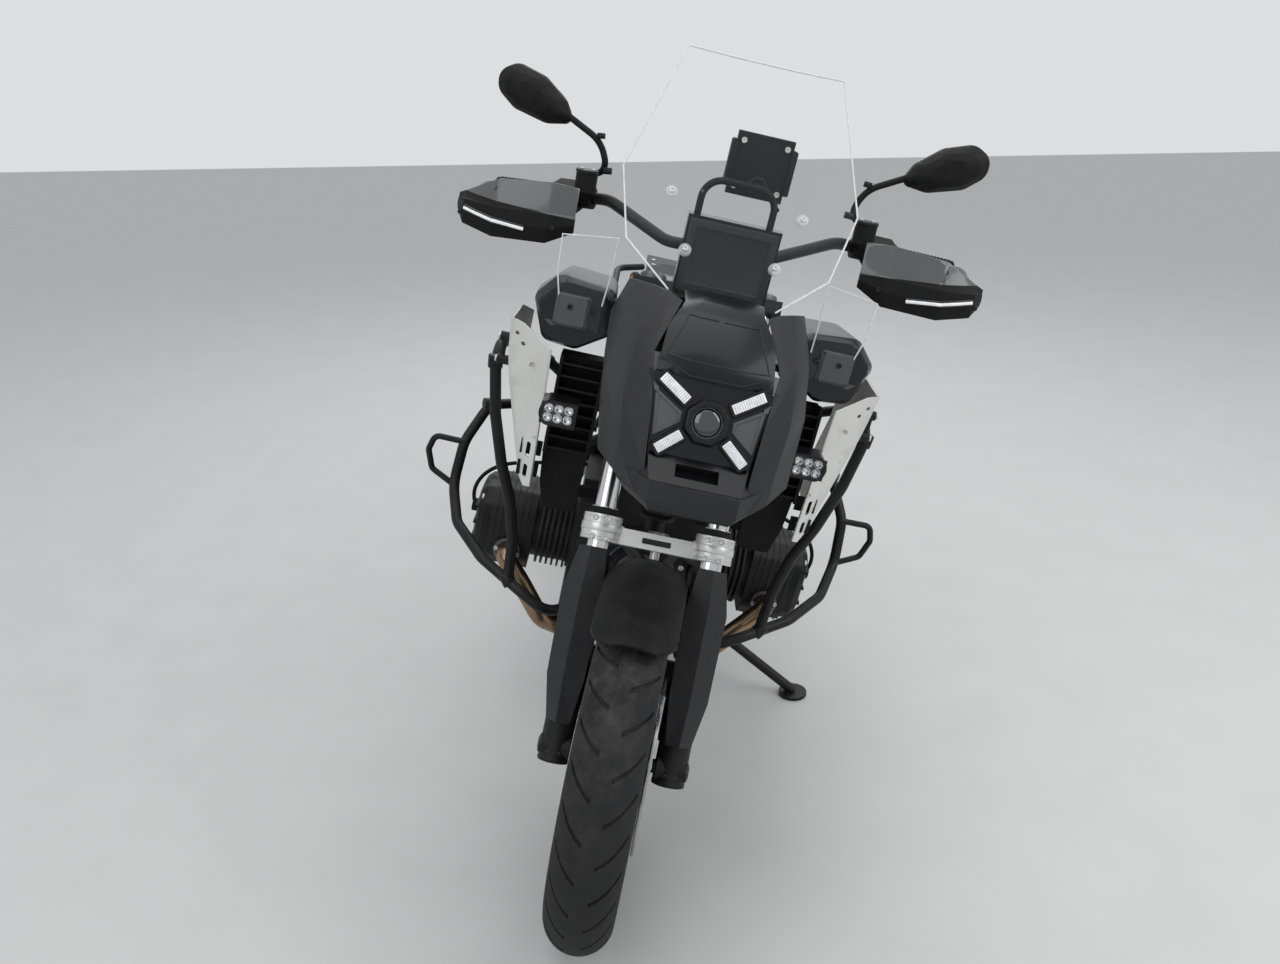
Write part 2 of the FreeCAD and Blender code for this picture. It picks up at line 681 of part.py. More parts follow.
fin_points = [("case_half", 0.0), ("case_half", 82.0), (("case_half", 4.0), 82.0)]
fin_in = amount("case_half") + 8.0
for index in range(int(amount("fin_count"))):
    inner_x = fin_in + index * amount("fin_pitch")
    fin_points += [(inner_x, "barrel_radius"), (inner_x, "fin_radius"),
                   ((inner_x, "fin_thick"), "fin_radius"), ((inner_x, "fin_thick"), "barrel_radius")]
head_at = ("case_half", "barrel_long")
fin_points += [(head_at, "barrel_radius"), (head_at, 0.0)]
fin_points[2] = (("case_half", 8.0 - 2.0), 82.0)
fin_points.insert(3, (("case_half", 6.0), "barrel_radius"))
barrel = revolved("barrel", fin_points)
barrel.Placement = Placement(Vector(0, amount("cylinder_back"), amount("cylinder_height")),
                             Rotation())

head_line = [(-82.0, -58.0), (-58.0, -88.0), (52.0, -88.0), (84.0, -60.0), (84.0, 48.0),
             (50.0, 88.0), (-50.0, 88.0), (-82.0, 62.0)]
head_out = amount(head_at)


def head_section(out, share):
    return [(out, amount("cylinder_back") + share * y, amount("cylinder_height") + share * z)
            for y, z in head_line]


head = lofted("head_block", [head_section(head_out, 1.0),
                             head_section(head_out + amount("head_long"), 1.0)], 20.0)
both("cylinders", "chassis", fused("cylinder", [barrel, head]))
cover_at = head_out + amount("head_long") + amount("clearance")
cover_depth = amount("cover_long")
cover = lofted("cover_shell", [head_section(cover_at, 0.95),
                               head_section(cover_at + 0.5 * cover_depth, 0.93),
                               head_section(cover_at + 0.86 * cover_depth, 0.82),
                               head_section(cover_at + cover_depth, 0.68)], 20.0)
cover_ribs = [box("cover_rib%d" % index, (cover_at, amount("cylinder_back") - 62.0,
                                          amount("cylinder_height") + height), cover_depth + 3.0,
                  124.0, 6.0) for index, height in enumerate((-40.0, -3.0, 34.0))]
both("head_covers", "chassis", fused("head_cover", [cover] + cover_ribs))

# Exhaust: two headers, a chamber below the gearbox and one silencer on the right.
port = amount("case_half") + 132.0
header_line = [(port, 492.7, 440.0), (port, 456.0, 440.0), (port - 42.0, 438.0, 400.0),
               (port - 100.0, 438.0, 322.0), (120.0, 520.0, 262.0), (60.0, 760.0, 255.0),
               (46.0, 880.0, 262.0)]
headers = [side_tube("header%d" % side, side, header_line, 60.0, "pipe_radius")
           for side in (1, -1)]
chamber = box("chamber", (-90.0, 870.3, 222.0), 180.0, 140.0, 72.0)
silencer_way = Vector(0, 0.955, 0.297)
silencer_foot = Vector(-205.0, 1150.0, 392.0)
link = tube("silencer_pipe", [(-60.0, 1011.0, 262.0), (-60.0, 1050.0, 262.0),
                              (-150.0, 1085.0, 310.0), tuple(silencer_foot - silencer_way * 40.0),
                              tuple(silencer_foot + silencer_way * 4.0)], 60.0, "pipe_radius")
can = rod("silencer_can", silencer_foot, silencer_way, "silencer_radius", "silencer_long")
can_nose = cone("silencer_nose", silencer_foot - silencer_way * 30.0, silencer_way, 26.0,
                "silencer_radius", 30.0)
can_bore = rod("silencer_bore",
               silencer_foot + silencer_way * (amount("silencer_long") - 60.0), silencer_way,
               22.0, 80.0)
node("exhaust", "chassis",
     cut("exhaust", fused("exhaust_solid", headers + [chamber, link, can, can_nose]), can_bore))
skid = sheet_of("skid_plate", [
    [(-95.0, 418.0, 352.0), (0.0, 412.0, 356.0), (95.0, 418.0, 352.0)],
    [(-135.0, 470.0, 240.0), (0.0, 466.0, 236.0), (135.0, 470.0, 240.0)],
    [(-145.0, 560.0, 214.0), (0.0, 560.0, 214.0), (145.0, 560.0, 214.0)],
    [(-120.0, 820.0, 214.0), (0.0, 820.0, 214.0), (120.0, 820.0, 214.0)],
], (0, 0, -4.0))
node("skid_plate", "chassis", skid)
skid_posts = [rod("skid_post%d_%d" % (side, back), (side * out, back, 214.3), (0, 0, 1), 8.0, 90.0)
              for side in (1, -1) for out, back in ((132.0, 600.0), (96.0, 770.0))]

# Main frame with its steering head, and the rear frame inside it.
head_low = 965.0
head_tube = rod("head_tube", on_axis(head_low), axis_up, 30.0, 86.0)
strut_mount = box("strut_mount", (-45.0, 352.0, 944.0), 90.0, 62.0, 20.0)
beam_line = [(12.0, 384.0, 1006.0), (95.0, 470.0, 895.0), (118.0, 640.0, 790.0),
             (118.0, 860.0, 640.0), (112.0, 912.0, 500.0), (112.0, 925.0, 372.0)]
down_line = [(12.0, 372.0, 974.0), (80.0, 448.0, 820.0), (95.0, 508.0, 700.0),
             (95.0, 508.0, 640.3)]
stay_line = [(17.0, 362.0, 990.0), (20.0, 150.0, 1000.0), (60.0, 100.0, 1000.0),
             (60.0, 52.3, 1000.0)]
carrier_line = [(82.0, 447.0, 822.0), (182.0, 385.0, 830.0), (182.0, 332.3, 830.0)]
pad_way = Vector(-0.651, 0, 0.759)
frame_parts = [head_tube, strut_mount]
for side in (1, -1):
    frame_parts += [side_tube("beam%d" % side, side, beam_line, 90.0, "frame_tube"),
                    side_tube("down%d" % side, side, down_line, 60.0, ("frame_tube", -3.0)),
                    side_tube("stay%d" % side, side, stay_line, 40.0, 9.0),
                    side_tube("radiator_stay%d" % side, side, carrier_line, 40.0, 8.0),
                    rod("tank_pad%d" % side, (side * 118.0, 640.0, 790.0),
                        (side * pad_way.x, 0, pad_way.z), 12.0, 100.0),
                    rod("pivot_boss%d" % side, (side * 95.0, amount("pivot_back"),
                        amount("pivot_height")), (side, 0, 0), 30.0, 34.0)]
frame_bores = [rod("head_bore", on_axis(head_low - 20.0), axis_up, (14.0, "clearance"), 140.0),
               rod("pivot_bore", (-140.0, amount("pivot_back"), amount("pivot_height")),
                   (1, 0, 0), 14.0, 280.0)]
bare_frame = cut("bare_frame", fused("main_frame_solid", frame_parts),
                 fused("main_frame_bores", frame_bores))
rail_x = 118.0 - amount("frame_tube") - amount("rail_tube") - amount("clearance")
rear_parts = []
for side in (1, -1):
    rear_parts += [
        side_tube("rail%d" % side, side, [(rail_x, 670.0, 747.5), (rail_x, 1000.0, 772.0),
                  (92.0, 1450.0, 832.0), (70.0, 1640.0, 850.0)], 80.0, "rail_tube"),
        side_tube("brace%d" % side, side, [(89.4, 868.0, 612.0), (89.4, 960.0, 660.0),
                  (88.0, 1250.0, 803.0)], 60.0, ("rail_tube", -2.0))]
for back, height, half in ((866.0, 762.0, 84.0), (1100.0, 785.0, 84.0), (1300.0, 812.0, 84.0),
                           (1630.0, 849.0, 70.0)):
    rear_parts.append(rod("cross%d" % int(back), (-half, back, height), (1, 0, 0),
                          ("rail_tube", -2.0), 2 * half))

for side in (1, -1):
    rear_parts += [
        rod_between("hanger%d" % side, (side * 89.0, 1060.0, 709.0), (side * 150.0, 1040.0, 560.0),
                    8.0),
        rod("rear_peg%d" % side, (side * 142.0, 1040.0, 560.0), (side, 0, 0), 11.0, 86.0)]

# Single swing arm with the shaft on the left, final drive, reaction link and rear strut.
arm_x = amount("arm_side")
pivot = Vector(0, amount("pivot_back"), amount("pivot_height"))
arm_parts = [
    rod("arm_pivot", pivot - Vector(94.5, 0, 0), (1, 0, 0), 27.0, 189.0),
    rod("arm_pin", pivot - Vector(128.0, 0, 0), (1, 0, 0), 13.7, 256.0),
    rod("arm_yoke", (0.0, pivot.y + 62.0, pivot.z - 8.0), (1, 0, 0), 28.0, arm_x),
    rod_between("arm_web", (40.0, pivot.y, pivot.z), (60.0, pivot.y + 66.0, pivot.z - 8.0), 21.0),
    rod_between("arm_web_right", (-60.0, pivot.y, pivot.z), (10.0, pivot.y + 66.0, pivot.z - 8.0),
                20.0),
    tube("arm_shaft", [(arm_x, pivot.y + 54.0, pivot.z - 8.0),
                       (arm_x, pivot.y + 120.0, pivot.z - 22.0),
                       (arm_x, rear_axle.y - 95.6, rear_axle.z + 8.0)], 90.0, "arm_tube")]
node("swing_arm", "chassis", fused("swing_arm", arm_parts))
drive_face = revolved("drive_body", [
    (80.0, 26.0), (80.0, 84.0), (92.0, 95.0), (140.0, 95.0), (164.0, 74.0), (170.0, 40.0),
    (170.0, 0.0), (80.0, 0.0)])
drive_face.Placement = Placement(rear_axle, Rotation())
spindle = rod("drive_spindle", rear_axle - Vector(62.0, 0, 0), (1, 0, 0),
              ("front_axle_radius", "-clearance"), 150.0)
node("final_drive", "chassis", fused("final_drive", [drive_face, spindle]))

# Front arm from the fork bridge to the engine, and the front spring strut.
eye_low = collar_base - 34.0
eye = on_axis(eye_low)
arm_cross = Vector(0, 340.0, collar_base - 48.0)
front_arm_parts = [rod("front_eye", eye, axis_up, 24.0, 22.0),
                   rod("front_cross", (-58.0, arm_cross.y, arm_cross.z), (1, 0, 0), 12.0, 116.0)]
for side in (1, -1):
    front_arm_parts.append(side_tube("front_arm%d" % side, side, [
        (12.0, eye.y + 10.0, eye.z + 3.0), (56.0, arm_cross.y, arm_cross.z),
        (120.0, 436.7, 520.0)], 50.0, 12.0))
    front_arm_parts.append(rod("front_pivot%d" % side, (side * 102.0, 436.7, 520.0), (side, 0, 0),
                               18.0, 38.0))
node("front_arm", "chassis",
     cut("front_arm", fused("front_arm_solid", front_arm_parts),
         rod("front_eye_bore", on_axis(eye_low - 20.0), axis_up, (9.0, "clearance"), 60.0)))


def spring_strut(name, foot, way, body_long, stem_long, turns):
    """A damper with its spring: turned about its own length, then pointed along its way."""
    points = [(0.0, 0.0), (0.0, "damper_radius"), (30.0, "damper_radius"),
              (30.0, ("spring_radius", 4.0)), (36.0, ("spring_radius", 4.0))]
    pitch = (body_long - 48.0) / turns
    for index in range(turns):
        at = 36.0 + pitch * index
        points += [(at + 0.2 * pitch, ("spring_radius", "-spring_wire")),
                   (at + 0.4 * pitch, "spring_radius"), (at + 0.75 * pitch, "spring_radius"),
                   (at + 0.95 * pitch, ("spring_radius", "-spring_wire"))]
    points += [(body_long - 12.0, ("spring_radius", 4.0)), (body_long, ("spring_radius", 4.0)),
               (body_long, 11.0), (stem_long, 11.0), (stem_long, 0.0)]
    strut = revolved(name, points)
    strut.Placement = Placement(foot, Rotation(Vector(1, 0, 0), way))
    return strut


strut_low = Vector(0, 343.0, collar_base - 21.6)
strut_high = Vector(0, 376.0, 942.6)
strut_way = (strut_high - strut_low).normalize()
strut_long = (strut_high - strut_low).Length
front_strut = [rod("strut_eye", (-14.0, strut_low.y, strut_low.z), (1, 0, 0), 13.5, 28.0),
               spring_strut("strut_spring", strut_low, strut_way, strut_long - 56.0,
                            strut_long, 11)]
node("front_strut", "chassis", fused("front_strut", front_strut))

shock_low = Vector(40.0, pivot.y + 62.0, pivot.z - 8.0)
shock_high = Vector(40.0, 866.0, 762.0)
shock_way = (shock_high - shock_low).normalize()
shock_long = (shock_high - shock_low).Length
low_eye, high_eye = 42.3, shock_long - 24.3
rear_strut = [
    rod("shock_eye_low", shock_low + shock_way * low_eye - Vector(14.0, 0, 0), (1, 0, 0), 14.0, 28.0),
    rod("shock_eye_high", shock_low + shock_way * high_eye - Vector(14.0, 0, 0), (1, 0, 0), 14.0,
        28.0),
    spring_strut("shock_spring", shock_low + shock_way * low_eye, shock_way,
                 high_eye - low_eye - 34.0, high_eye - low_eye, 11)]
node("rear_strut", "chassis", fused("rear_strut", rear_strut))

# Tank, its dark wings, radiators with grilles, and the silver side panels.
tank_rows = []
for back, low, low_half, mid, mid_half, top, top_half in (
        (505.0, 906.0, 62.0, 970.0, 148.0, 1036.0, 96.0),
        (620.0, 866.0, 70.0, 950.0, 172.0, 1062.0, 108.0),
        (770.0, 822.0, 70.0, 880.0, 112.0, 946.0, 66.0)):
    tank_rows.append([(-low_half, back, low), (-mid_half, back, mid), (-top_half, back, top),
                      (top_half, back, top), (mid_half, back, mid), (low_half, back, low)])
tank = lofted("fuel_tank", tank_rows, 34.0)
node("fuel_tank", "chassis", tank)
node("main_frame", "chassis", cut("main_frame", bare_frame, tank))
wing_rows = [
    [(166.0, 262.0, 1004.0), (170.0, 262.0, 1070.0), (262.0, 262.0, 1078.0),
     (296.0, 262.0, 1040.0), (272.0, 262.0, 974.0), (221.0, 262.0, 968.0)],
    [(160.0, 278.0, 998.0), (164.0, 278.0, 1078.0), (268.0, 278.0, 1086.0),
     (306.0, 278.0, 1042.0), (279.0, 278.0, 966.0), (218.0, 278.0, 960.0)],
    [(165.0, 440.0, 1000.0), (165.0, 440.0, 1068.0), (258.0, 440.0, 1074.0),
     (314.0, 440.0, 1020.0), (294.0, 440.0, 944.0), (215.0, 440.0, 940.0)],
    [(178.0, 570.0, 962.0), (178.0, 570.0, 1042.0), (232.0, 570.0, 1048.0),
     (270.0, 570.0, 1000.0), (256.0, 570.0, 912.0), (200.0, 570.0, 908.0)],
    [(190.0, 640.0, 950.0), (190.0, 640.0, 1014.0), (204.0, 640.0, 1018.0),
     (218.0, 640.0, 980.0), (212.0, 640.0, 915.0), (194.0, 640.0, 910.0)]]
wing_boss = rod("wing_boss", (206.0, 590.0, 985.0), (-1, 0, 0), 10.0, 90.0)
wing_tail = rod("wing_tail_boss", (206.0, 560.0, 935.0), (-1, 0, 0), 8.0, 80.0)
pair("tank_wing", "chassis",
     cut("tank_wing", fused("tank_wing_solid", [lofted("wing_shell", wing_rows, 20.0), wing_boss,
                                                wing_tail]), tank))
grille = [box("radiator_core", (156.0, 298.0, 765.0), 84.0, 34.0, 178.0)]
grille += [box("grille_post%d" % int(x), (x, 268.0, 762.0), 6.0, 31.0, 186.0) for x in (156.0, 234.0)]
for index in range(8):
    grille.append(box("grille_slat%d" % index, (160.0, 270.0, 770.0 + 23.0 * index), 76.0, 26.0,
                      4.0, Rotation(Vector(1, 0, 0), -20.0)))
grille.append(lofted("radiator_shroud", [
    [(156.0, back, 767.0), (242.0, back, 767.0), (236.0, back, 690.0), (222.0, back, 636.0),
     (160.0, back, 636.0)] for back in (308.0, 328.0)], 10.0))
pair("radiator", "chassis", fused("radiator", grille))
panel_sheet = sheet_of("side_panel", [
    [(316.0, 284.0, 985.0), (326.0, 290.0, 987.0), (340.0, 304.0, 986.0), (334.0, 400.0, 990.0),
     (322.0, 520.0, 955.0)],
    [(260.0, 250.0, 958.0), (300.0, 280.0, 945.0), (338.0, 322.0, 930.0), (337.0, 420.0, 930.0),
     (324.0, 540.0, 900.0)],
    [(257.0, 250.0, 888.0), (318.0, 300.0, 898.0), (333.0, 326.0, 893.0), (343.0, 430.0, 893.0),
     (323.0, 545.0, 862.0)],
    [(257.0, 254.0, 872.0), (282.0, 280.0, 878.0), (326.0, 330.0, 858.0), (336.0, 440.0, 850.0),
     (310.0, 525.0, 820.0)],
    [(252.0, 262.0, 690.0), (264.0, 276.0, 684.0), (277.0, 292.0, 698.0), (286.0, 400.0, 705.0),
     (282.0, 470.0, 740.0)]], (-4.0, 0, 0))
panel_slots = []
for index, (out, low, high) in enumerate(((266.0, 747.0, 769.0), (265.0, 706.0, 724.0))):
    panel_slots.append(box("slot%d" % index, (out - 4.0, 230.0, low), 8.0, 200.0, high - low))
    for level in (low, high):
        panel_slots.append(rod("slot_end%d_%d" % (index, level), (out, 230.0, level), (0, 1, 0),
                               4.0, 200.0))
for index, (out, level) in enumerate(((324.0, 962.0), (310.0, 947.0))):
    panel_slots.append(rod("panel_hole%d" % index, (out, 250.0, level), (0, 1, 0), 4.0, 90.0))
panel_boss = rod("panel_boss", (240.3, 315.0, 850.0), (1, 0, 0), 8.0, 67.0)
side_panel = cut("side_panel_cut", fused("side_panel_solid", [panel_sheet, panel_boss]),
                 fused("panel_slots", panel_slots))
pair("side_panel", "chassis", side_panel)
aux_body = padded("aux_body", "XZ_Plane", [
    (-30.0, -23.0), (22.0, -23.0), (22.0, 23.0), (-30.0, 23.0)], 44.0, {1: (26.0, -1)})
aux_body.Placement = Placement(Vector(220.0, 206.0, 866.0), Rotation())
aux_well = padded("aux_well", "XZ_Plane", [
    (-25.0, -18.0), (20.0, -18.0), (20.0, 18.0), (-25.0, 18.0)], 20.0, {1: (21.0, -1)})
aux_well.Placement = Placement(Vector(220.0, 184.0, 866.0), Rotation())
aux = cut("aux_shell", aux_body, aux_well)
aux_stem = rod("aux_stem", (237.0, 226.0, 866.0), (0, 1, 0), 4.0, 41.7)
pair("aux_lamp", "chassis", fused("aux_lamp", [aux, aux_stem]))

# Nose: beak, lamp, side fairings, top panel, screen with deflectors, display and hoop.
fairing = sheet_of("side_fairing", [
    [(69.0, -151.0, 881.0), (112.0, -108.0, 893.0), (147.0, -48.0, 906.0), (156.0, 130.0, 912.0)],
    [(76.0, -128.0, 915.0), (117.0, -84.0, 925.0), (150.0, -28.0, 935.0), (160.0, 140.0, 940.0)],
    [(84.0, -84.0, 1000.0), (127.0, -50.0, 1000.0), (157.0, 10.0, 1000.0),
     (166.0, 160.0, 1000.0)],
    [(95.0, -34.0, 1070.0), (122.0, -14.0, 1074.0), (148.0, 44.0, 1072.0),
     (170.0, 190.0, 1062.0)],
    [(67.0, 40.0, 1134.0), (86.0, 56.0, 1140.0), (112.0, 92.0, 1138.0), (150.0, 210.0, 1118.0)]],
    (0, 4.0, 0))
fairing_boss = rod("fairing_boss", (112.0, 20.0, 960.0), (1, 0, 0), 7.0, 44.0)
fairing_half = fused("side_fairing_half", [fairing, fairing_boss])
beak_solid = lofted("beak_solid", [
    [(-58.0, -154.0, 868.0), (58.0, -154.0, 868.0), (96.0, -90.0, 868.0), (84.0, -20.0, 868.0),
     (-84.0, -20.0, 868.0), (-96.0, -90.0, 868.0)],
    [(-66.0, -158.0, 882.0), (66.0, -158.0, 882.0), (112.0, -100.0, 888.0), (124.0, 10.0, 888.0),
     (-124.0, 10.0, 888.0), (-112.0, -100.0, 888.0)],
    [(-66.0, -152.0, 911.0), (66.0, -152.0, 911.0), (118.0, -86.0, 911.0), (134.0, 20.0, 911.0),
     (-134.0, 20.0, 911.0), (-118.0, -86.0, 911.0)]])
lamp_body = lofted("lamp_body", [
    [(-68.0, -146.0, 911.3), (68.0, -146.0, 911.3), (114.0, -80.0, 911.3), (114.0, 52.0, 911.3),
     (-114.0, 52.0, 911.3), (-114.0, -80.0, 911.3)],
    [(-76.0, -98.0, 938.0), (76.0, -98.0, 938.0), (114.0, -64.0, 938.0), (114.0, 52.0, 938.0),
     (-114.0, 52.0, 938.0), (-114.0, -64.0, 938.0)],
    [(-90.0, -58.0, 1046.0), (90.0, -58.0, 1046.0), (114.0, -26.0, 1046.0),
     (114.0, 52.0, 1046.0), (-114.0, 52.0, 1046.0), (-114.0, -26.0, 1046.0)]])
face_up = Vector(0, 40.0, 108.0).normalize()
face_out = Vector(0, -108.0, 40.0).normalize()
face_mid = Vector(0, -78.7, 990.0)
lamp_parts = [lamp_body]
for index, (across, up, across_end, up_end) in enumerate((
        (30.0, 24.0, 80.0, 57.0), (-30.0, 24.0, -80.0, 57.0),
        (30.0, -20.0, 69.0, -54.0), (-30.0, -20.0, -69.0, -54.0))):
    start = face_mid + Vector(across, 0, 0) + face_up * up
    finish = face_mid + Vector(across_end, 0, 0) + face_up * up_end
    along = finish - start
    aside = face_out.cross(along).normalize()
    lamp_parts.append(lofted("lamp_bar%d" % index, [
        [tuple(start + aside * half + face_out * height),
         tuple(start - aside * half + face_out * height),
         tuple(finish - aside * half + face_out * height),
         tuple(finish + aside * half + face_out * height)]
        for height, half in ((-5.0, 13.0), (7.0, 11.0))], 5.0))
lamp_parts.append(rod("lamp_barrel", face_mid - face_out * 5.0, face_out, 28.0, 14.0))
duct = box("duct", (-32.0, -150.0, 919.0), 64.0, 60.0, 12.0)
lamp_solid = cut("lamp_solid", fused("lamp_fused", lamp_parts), duct)
both("side_fairings", "chassis", fairing_half)
lamp_room = fused("lamp_room", [fairing_half, mirrored("fairing_room", fairing_half)])
node("beak", "chassis", cut("beak", beak_solid, lamp_room))
node("headlamp", "chassis", cut("headlamp", lamp_solid, lamp_room))
nose_sheet = sheet_of("nose_sheet", [
    [(-88.0, -50.0, 1046.3), (-40.0, -62.0, 1046.3), (40.0, -62.0, 1046.3), (88.0, -50.0, 1046.3)],
    [(-86.0, -44.0, 1066.0), (-40.0, -56.0, 1068.0), (40.0, -56.0, 1068.0), (86.0, -44.0, 1066.0)],
    [(-82.0, -6.0, 1104.0), (-40.0, -16.0, 1108.0), (40.0, -16.0, 1108.0), (82.0, -6.0, 1104.0)],
    [(-62.0, 46.0, 1134.0), (-34.0, 42.0, 1138.0), (34.0, 42.0, 1138.0), (62.0, 46.0, 1134.0)],
    [(-64.0, 100.0, 1140.0), (-34.0, 100.0, 1144.0), (34.0, 100.0, 1144.0),
     (64.0, 100.0, 1140.0)]], (0, 4.0, -2.0))
node("nose_panel", "chassis",
     cut("nose_panel", nose_sheet, fused("nose_room", [lamp_room, lamp_solid])))
screen_thick = (0, amount("screen_thick"), 0)
screen_rows = [
    [(-88.0, 128.0, 1128.0), (88.0, 128.0, 1128.0), (133.0, 350.0, 1491.0),
     (-133.0, 350.0, 1491.0)]]
for side in (1, -1):
    screen_rows += [
        [(side * 88.0, 128.0, 1128.0), (side * 170.0, 190.0, 1184.0), (side * 199.0, 250.0, 1288.0)],
        [(side * 88.0, 128.0, 1128.0), (side * 199.0, 250.0, 1288.0), (side * 133.0, 350.0, 1491.0)]]
screen = facets("screen_sheet", screen_rows, screen_thick)
wing_face = 262.0 - amount("screen_thick") - amount("clearance")
deflector = sheet_of("deflector", [
    [(180.0, 240.0, 1172.0), (276.0, 262.0, 1156.0)],
    [(182.0, 236.0, 1100.0), (272.0, 250.0, 1096.0)],
    [(186.0, wing_face, 1050.0), (262.0, wing_face, 1050.0)],
    [(186.0, wing_face, 1000.0), (256.0, wing_face, 1030.0)]], screen_thick)
node("windscreen", "chassis",
     grouped("windscreen", [screen, deflector, mirrored("deflector_mirror", deflector)]))
hoop_line = [(62.0, 262.0, 1105.0), (62.0, 262.0, 1298.0), (-62.0, 262.0, 1298.0),
             (-62.0, 262.0, 1105.0)]
carrier = [tube("hoop_tube", hoop_line, 34.0, "hoop_radius"),
           box("carrier_plate", (-72.0, 243.0, 1104.0), 144.0, 16.0, 60.0)]
for side in (1, -1):
    carrier.append(rod("carrier_post%d" % side, (side * 19.0, 250.0, 1004.9), (0, 0, 1), 7.0,
                       108.0))
    carrier.append(rod("screen_boss%d" % side, (side * 62.0, 262.0, 1275.0), (0, -1, 0), 3.0, 42.1))
node("display", "chassis", box("display", (-78.0, 206.0, 1113.0), 156.0, 36.7, 129.0))
holder = [box("holder_body", (-23.0, 290.0, 1278.0), 96.0, 18.0, 102.0),
          rod("holder_arm", (25.0, 262.0, 1298.0), (0, 1, 0), 9.0, 30.0)]
node("device_holder", "chassis", cut("device_holder", fused("device_holder_solid", carrier + holder), screen))

# Seats, tail, rack, rails, lamp and plate holder.
def seat(name, rows):
    wires = []
    for back, low, high, half in rows:
        crown = high - 14.0
        wires.append([(-half, back, low + 16.0), (-half * 0.9, back, crown),
                      (-half * 0.5, back, high), (half * 0.5, back, high),
                      (half * 0.9, back, crown), (half, back, low + 16.0),
                      (half * 0.8, back, low), (-half * 0.8, back, low)])
    return lofted(name, wires, 9.0)


node("rider_seat", "chassis", seat("rider_seat", [
    (780.0, 832.0, 900.0, 78.0), (960.0, 800.0, 856.0, 140.0), (1140.0, 806.0, 884.0, 150.0)]))
node("passenger_seat", "chassis", seat("passenger_seat", [
    (1146.0, 872.0, 918.0, 142.0), (1300.0, 875.58, 930.0, 138.0), (1490.0, 880.0, 934.0, 104.0)]))
tail_rows = []
for back, low, high, half in ((1146.0, 800.0, 871.7, 70.0), (1460.0, 832.0, 879.0, 72.0)):
    tail_rows.append([(-half, back, low), (half, back, low), (half, back, high),
                      (-half, back, high)])
rear_frame = node("rear_frame", "chassis",
     fused("rear_frame", rear_parts + [lofted("seat_base", tail_rows),
                                       box("seat_pad", (-88.0, 950.0, 762.0), 176.0, 24.0, 37.7)]))
rack_plate = box("rack_plate", (-95.0, 1500.0, 905.0), 190.0, 200.0, "rack_thick")
rack_posts = [rod("rack_post%d_%d" % (side, back), (side * 76.0, back, 840.0), (0, 0, 1), 9.0,
                  66.0) for side in (1, -1) for back in (1540.0, 1620.0)]
rack_holes = fused("rack_holes", [
    rod("rack_hole%d" % index,
        (amount("rack_pcd") / 2 * math.cos(math.radians(45 + 90 * index)),
         1600.0 + amount("rack_pcd") / 2 * math.sin(math.radians(45 + 90 * index)), 890.0),
        (0, 0, 1), "rack_hole", 40.0) for index in range(4)])
grab_line = [(rail_x + 4.0, 1180.0, 796.0), (175.0, 1230.0, 862.0), (175.0, 1440.0, 902.0),
             (106.0, 1500.0, 909.0)]
grabs = [side_tube("grab_rail%d" % side, side, grab_line, 60.0, 9.0) for side in (1, -1)]
node("rear_rack", "chassis",
     cut("rear_rack", fused("rear_rack_solid", [rack_plate] + rack_posts + grabs),
         fused("rack_room", [rack_holes, rear_frame])))
tail_lamp = box("tail_lamp", (-72.0, 1641.5, 826.0), 144.0, 26.0, 40.0)
plate = sheet_of("plate_holder", [
    [(-50.0, 1652.0, 832.0), (50.0, 1652.0, 832.0)],
    [(-60.0, 1800.0, 700.0), (60.0, 1800.0, 700.0)],
    [(-92.0, 1850.0, 660.0), (92.0, 1850.0, 660.0)],
    [(-92.0, 1880.0, 540.0), (92.0, 1880.0, 540.0)]], (0, 5.0, 0))
tail_parts = [tail_lamp, plate]
for side in (1, -1):
    tail_parts += [rod("signal_stalk%d" % side, (side * 70.0, 1656.0, 842.0), (side, 0, 0), 5.0, 34.0),
                   rod("signal%d" % side, (side * 118.0, 1640.0, 842.0), (0, 1, 0), 17.0, 34.0)]
node("tail_unit", "chassis", fused("tail_unit", tail_parts))

# Foot pegs and crash bars.
peg = [rod("peg", (160.0, 838.0, 330.0), (1, 0, 0), 14.0, 96.0),
       rod_between("peg_arm", (161.0, 903.0, 402.0), (170.0, 838.0, 330.0), 9.0),
       rod("peg_boss", (129.4, 905.0, 404.0), (1, 0, 0), 16.0, 36.0)]
both("foot_pegs", "chassis", fused("foot_peg", peg))
bar_line = [(112.0, 454.7, 392.0), (112.0, 398.0, 392.0), (175.0, 330.0, 400.0),
            (230.0, 345.0, 425.0), (325.0, 400.0, 455.0), (395.0, 480.0, 485.0),
            (425.0, 560.0, 535.0), (418.0, 575.0, 630.0), (385.0, 640.0, 700.0),
            (220.0, 760.0, 708.2), (135.3, 760.0, 708.2)]
upright_line = [(262.0, 364.0, 437.0), (268.0, 372.0, 520.0), (289.0, 388.0, 600.0),
                (319.0, 390.0, 675.0), (347.0, 394.0, 770.0), (364.0, 398.0, 872.0),
                (364.0, 446.0, 894.0), (354.0, 570.0, 878.0), (280.0, 660.0, 820.0),
                (200.0, 680.0, 762.7), (135.3, 680.0, 762.7)]
slide_line = [(418.0, 572.0, 630.0), (480.0, 570.0, 632.0), (490.0, 570.0, 598.0),
              (477.0, 570.0, 556.0), (425.0, 562.0, 532.0)]
